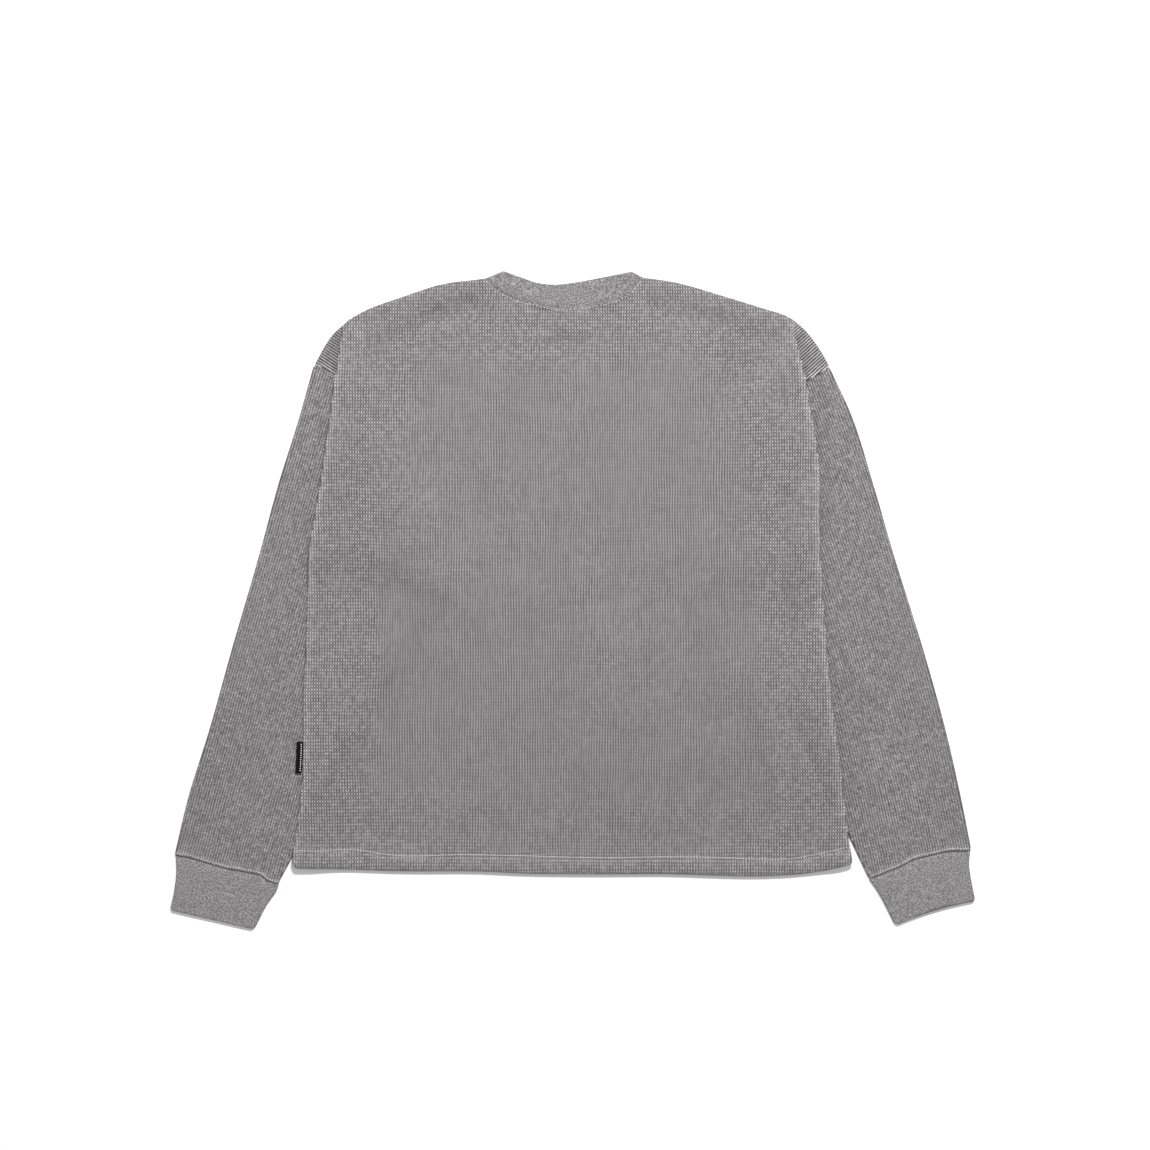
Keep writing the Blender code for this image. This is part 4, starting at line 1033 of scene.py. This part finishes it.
MOUTH_BOW = {"left": 0.0, "right": 0.0028}  # how far the middle of the mouth lies further in
MOUTH_SHADE, MOUTH_LINE = {"left": 0.0, "right": 0.9}, (0.0006, 0.0014)  # painted shade: the dark line where it gapes, and where it ends
MOUTH_FADE = 0.0015, 0.002
GAPE_POINTS, CUFF_POINTS, CUFF_ROWS = 9, 30, 22  # of the mouth that gapes, along the cuff, and of its knit
BEFORE_SEAM, BESIDE_FOLD = 0.2, 0.01  # how far its ribs are drawn past its seam and folds, as shares


def make_cuff(side):
    """A flattened rib tube with an open mouth."""
    name, sections = "cuff_" + side, CUFF[side]
    start, rows, seam = lapped(sections), curve(sections, CUFF_POINTS), curve(CUFF_SEAM[side], SEAM_POINTS)
    inwards = np.subtract(sections[0][:2], sections[-1][:2])
    shares = np.linspace(0, 1, TUBE_POINTS)
    bow = MOUTH_BOW[side] * 4 * shares * (1 - shares)
    mouth = section_places(sections[-1], shares) + bow[:, None] * inwards / np.hypot(*inwards)
    outline = tube_outline([start, *sections], mouth[:-1], seam + np.subtract(start[:2], sections[0][:2]))
    top, at_seam, at_mouth = Height(name), near(seam, 0.0, LAP_WIDTH), near(mouth, *MOUTH_FADE)
    half, turn = blend(CUFF_STACK / 2, RIB / 2, at_mouth), blend(FOLDED, FREE, at_mouth)
    gaping = near(mouth[:GAPE_POINTS], *MOUTH_LINE)

    def to_plan(u, v):
        place = curve_at(rows, v * (1 + BEFORE_SEAM) - BEFORE_SEAM)
        across = u * (1 + 2 * BESIDE_FOLD) - BESIDE_FOLD
        return place[:, 0:2] + across[:, None] * (place[:, 2:4] - place[:, 0:2])

    def upper_surface(plan, depth):
        return top(plan) + creases(plan, CUFF_CREASES) - LAP_DROP * at_seam(plan)

    # Painted shade along the part of the mouth that gapes.
    def tone(plan):
        return MOUTH_SHADE[side] * gaping(plan)

    faces = []
    for surface, upper in ((upper_surface, True), (on_floor, False)):
        cover = ribs(to_plan, width_of(sections[0]), CUFF_ROWS)
        faces.append(knit_face(cover, outline, surface, upper, half, turn, RIM, True, RIB_DEPTH, rings=4,
                               tone=tone))
    return add_piece(name, faces, CUFF_FINISH, [name])


# ---- Collar ----

NECK_DROP, NECK_DROP_WIDTH = 0.0012, 0.004  # how far below the body's neck seam the collar's lap goes
COLLAR_END_FADE = 0.002, 0.003
COLLAR_POINTS, COLLAR_ROWS = 60, 16


def make_collar():
    """The rib band: its back part on top, and its front part under it along the lower front neckline."""
    left, right = COLLAR_PEAKS
    back_seam, back_edge = curve(BACK_NECK, COLLAR_POINTS), curve(COLLAR_EDGE, COLLAR_POINTS)
    drop = FRONT_NECK_DROP - COLLAR_HEIGHT + (left.y - BACK_NECK[0].y)
    front_seam = curve(front_neck(), COLLAR_POINTS)
    front_edge = curve(front_neck(drop, left, right), COLLAR_POINTS)
    height, at_seam = Height("collar", trim=0, soften=1.4), near(back_seam, 0.0, NECK_DROP_WIDTH)

    def at_end(plan):
        to_end = np.minimum(*(to_segment(plan, back_seam[end], back_edge[end]) for end in (0, -1)))
        return 1 - soft_step(to_end, *COLLAR_END_FADE)

    def upper_surface(plan, depth):
        return height(plan) - NECK_DROP * at_seam(plan)

    half, turn = blend(RIB / 2, COLLAR_STACK / 2, at_end), blend(FREE, FOLDED, at_end)
    faces = []
    for seam, edge, surface, upper in ((back_seam, back_edge, upper_surface, True),
                                       (front_seam, front_edge, on_floor, False)):
        lap = seam + (seam - edge) * SEAM_LAP / COLLAR_HEIGHT
        cover = ribs(lambda u, v: curve_at(lap, u) * (1 - v)[:, None] + curve_at(edge, u) * v[:, None],
                     way_along(seam)[-1], COLLAR_ROWS)
        outline = np.vstack([lap, edge[::-1]])
        faces.append(knit_face(cover, outline, surface, upper, half, turn, RIM, True, RIB_DEPTH, rings=4))
    return add_piece("collar", faces, COLLAR_FINISH, ["collar"])


# ---- Sewing and label ----

Stitch = namedtuple("Stitch", "length gap radius")
HEM_STITCH = table(Stitch, (0.0030, 0.0006, 0.00050), (0.0021, 0.0017, 0.00028))
NECK_STITCH, NECK_STITCH_INSET = Stitch(0.0022, 0.0020, 0.00045), 0.0011
CUFF_STITCH, CUFF_THREAD_RISE, CUFF_THREAD_POINTS = Stitch(0.0028, 0.0005, 0.00045), 0.0026, 40
LABEL_DASH, LABEL_DASH_INSET = Stitch(0.0014, 0.0010, 0.0006), 0.0019
THREAD_LIFT = 0.0001
STITCH_SIDES, STITCH_PROFILE = 6, ((-0.5, 0.0), (-0.40, 0.8), (0.0, 1.0), (0.40, 0.8), (0.5, 0.0))
STITCH_SWING = 0.06  # how far stitches turn out of line, in radians
STITCH_AHEAD = 0.001  # how far ahead the path's direction is taken
PAST_ROLL = 0.02  # a depth inside an outline where its edge no longer rolls


def capsule(length, radius):
    """A short thread with rounded ends along X, as points and triangles."""
    turn = np.arange(STITCH_SIDES) * 2 * np.pi / STITCH_SIDES
    points = np.vstack([np.column_stack([np.full(STITCH_SIDES, at * length), np.cos(turn) * size * radius,
                                         np.sin(turn) * size * radius]) for at, size in STITCH_PROFILE])
    triangles = []
    for ring in range(len(STITCH_PROFILE) - 1):
        for k in range(STITCH_SIDES):
            a, b = ring * STITCH_SIDES + k, ring * STITCH_SIDES + (k + 1) % STITCH_SIDES
            triangles += [(a, b, b + STITCH_SIDES), (a, b + STITCH_SIDES, a + STITCH_SIDES)]
    return points, np.array(triangles)[:, ::-1]


def stitch_row(path, surface, stitch, lift):
    """Stitches end to end along a path over the plan, laid on a surface."""
    way = way_along(path)
    at = np.arange(0.5 * stitch.length, way[-1], stitch.length + stitch.gap)
    place, ahead = (np.column_stack([np.interp(where, way, path[:, axis]) for axis in (0, 1)])
                    for where in (at, at + STITCH_AHEAD))
    ahead -= place
    ahead[-1] = ahead[-2]
    angle = np.arctan2(ahead[:, 1], ahead[:, 0]) + randomness.normal(0, STITCH_SWING, len(at))
    z = surface(place, np.full(len(place), PAST_ROLL)) + lift
    shape, triangles = capsule(stitch.length, stitch.radius)
    cos, sin = np.cos(angle)[:, None], np.sin(angle)[:, None]
    x = place[:, :1] + ORIGIN[0] + shape[:, 0] * cos - shape[:, 1] * sin
    y = place[:, 1:] + ORIGIN[1] + shape[:, 0] * sin + shape[:, 1] * cos
    points = np.stack([x, y, z[:, None] + shape[:, 2] + 0 * x], axis=-1).reshape(-1, 3)
    faces = (triangles + np.arange(len(at))[:, None, None] * len(shape)).reshape(-1, 3)
    return Face(points, faces, np.zeros((len(points), 3)), np.zeros(len(points)), np.ones(len(faces), bool))


def make_hem_stitches():
    surface = back_surface(Height("back_panel"))
    rows = [stitch_row(path, surface, stitch, THREAD_LIFT) for path, stitch in zip(COVERSTITCH, HEM_STITCH)]
    return add_piece("hem_stitches", rows, THREAD_FINISH)


def make_neck_stitches():
    """The collar seam's row of short stitches, along the back neckline."""
    before_neck = 2 * EDGE_POINTS + SHOULDER_POINTS
    path = inset_outline(BACK_OUTLINE, NECK_STITCH_INSET)[before_neck:before_neck + NECK_POINTS - 2]
    row = stitch_row(path, back_surface(Height("back_panel")), NECK_STITCH, THREAD_LIFT)
    return add_piece("neck_stitches", [row], THREAD_FINISH)


def make_cuff_stitches(side):
    """The light ridge of thread above a cuff seam."""
    top = Height("sleeve_" + side)
    path = curve(CUFF_SEAM[side], CUFF_THREAD_POINTS)[1:-1] + (0, CUFF_THREAD_RISE)
    row = stitch_row(path, lambda plan, depth: top(plan) + CUFF_SEAM_LIFT, CUFF_STITCH, -THREAD_LIFT)
    return add_piece("cuff_stitches_" + side, [row], THREAD_FINISH)


LABEL_GAP, LABEL_RIM, LABEL_POINTS, LABEL_GRID = 0.0003, 0.0004, 30, (12, 40)


def make_label():
    """A folded black tape that stands out of the left side seam, with a plain light woven stripe."""
    side = BODY_SIDE["left"]
    y = np.linspace(LABEL_TOP, LABEL_TOP - LABEL_LENGTH, LABEL_POINTS)
    x = np.interp(y, side[:, 1], side[:, 0]) - LABEL_GAP - np.linspace(0, LABEL_LEAN, LABEL_POINTS)
    inner, outer = np.column_stack([x, y]), np.column_stack([x - LABEL_REACH, y])
    outline = anticlockwise(np.vstack([inner, outer[::-1]]))
    z_low, z_high = (corner.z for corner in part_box("side_label"))
    faces = []
    for level, upper in ((z_high, True), (z_low, False)):
        faces.append(knit_face(plain(outline, *LABEL_GRID), outline,
                               lambda plan, depth, level=level: np.full(len(plan), level), upper,
                               (z_high - z_low) / 2, FOLDED, LABEL_RIM, True, 0.0))
    label = add_piece("side_label", faces, TAPE_FINISH, ["side_label"])
    path = np.column_stack([x - LABEL_DASH_INSET, y])[2:-2]
    dashes = stitch_row(path, lambda plan, depth: np.full(len(plan), z_high), LABEL_DASH, 0.0)
    return label, add_piece("side_label_stripe", [dashes], TAPE_LIGHT_FINISH)


# ---- Stage ----

CENTRE = np.array([0.00275, 0.02915]) + ORIGIN  # what the middle of the view looks at
VIEW_WIDTH = 1.265  # how much of the garment's plane the view takes in
LENS, SENSOR = 85.0, 36.0
GARMENT_LEVEL = 0.008
FLOOR_REACH, FLOOR_LEVEL = 3.0, -0.0003
FLOOR_PAINT = {"Base Color": (0.93, 0.93, 0.93, 1), "Roughness": 0.9, "Emission Color": (1, 1, 1, 1),
               "Emission Strength": 0.09}
SOFTBOX_PLACE, SOFTBOX_SIZE, SOFTBOX_WATTS = (0.45, 2.0, 2.6), 0.5, 118
SKY_STRENGTH = 0.46


def place_object(name, data):
    placed = bpy.data.objects.new(name, data)
    bpy.context.scene.collection.objects.link(placed)
    return placed


def make_floor():
    mesh = bpy.data.meshes.new("floor")
    corners = ((-1, -1), (1, -1), (1, 1), (-1, 1))
    mesh.from_pydata([(x * FLOOR_REACH, y * FLOOR_REACH, FLOOR_LEVEL) for x, y in corners], [], [range(4)])
    paint = bpy.data.materials.new("floor")
    paint.use_nodes = True
    for key, value in FLOOR_PAINT.items():
        paint.node_tree.nodes["Principled BSDF"].inputs[key].default_value = value
    mesh.materials.append(paint)
    place_object("floor", mesh)


def make_stage():
    """A pale floor, a softbox beyond the neck, an even sky, and the camera straight above."""
    make_floor()
    lamp = bpy.data.lights.new("softbox", "AREA")
    lamp.shape, lamp.size, lamp.energy = "DISK", SOFTBOX_SIZE, SOFTBOX_WATTS
    softbox = place_object("softbox", lamp)
    softbox.location = SOFTBOX_PLACE
    softbox.rotation_euler = softbox.location.to_track_quat("Z", "Y").to_euler()
    world = bpy.data.worlds.new("sky")
    world.use_nodes = True
    world.node_tree.nodes["Background"].inputs["Color"].default_value = (1, 1, 1, 1)
    world.node_tree.nodes["Background"].inputs["Strength"].default_value = SKY_STRENGTH
    bpy.context.scene.world = world
    camera = bpy.data.cameras.new("camera")
    camera.lens, camera.sensor_width = LENS, SENSOR
    eye = place_object("camera", camera)
    eye.location = (*CENTRE, GARMENT_LEVEL + VIEW_WIDTH * LENS / SENSOR)
    bpy.context.scene.camera = eye
    bpy.context.scene.view_settings.view_transform = "Standard"


# ---- Everything ----


def make_top():
    back, inside, front = make_back_panel(), make_back_inside(), make_front_panel()
    sleeves = [make_sleeve(side) for side in BODY_SIDE]
    cuffs = [make_cuff(side) for side in BODY_SIDE]
    collar = make_collar()
    stitches = [make_hem_stitches(), make_neck_stitches()]
    cuff_stitches = [make_cuff_stitches(side) for side in BODY_SIDE]
    label, stripe = make_label()
    for name in ("pleat_left", "pleat_right"):
        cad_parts[name].material_slots[0].material = HIDDEN_FINISH


make_stage()
make_top()
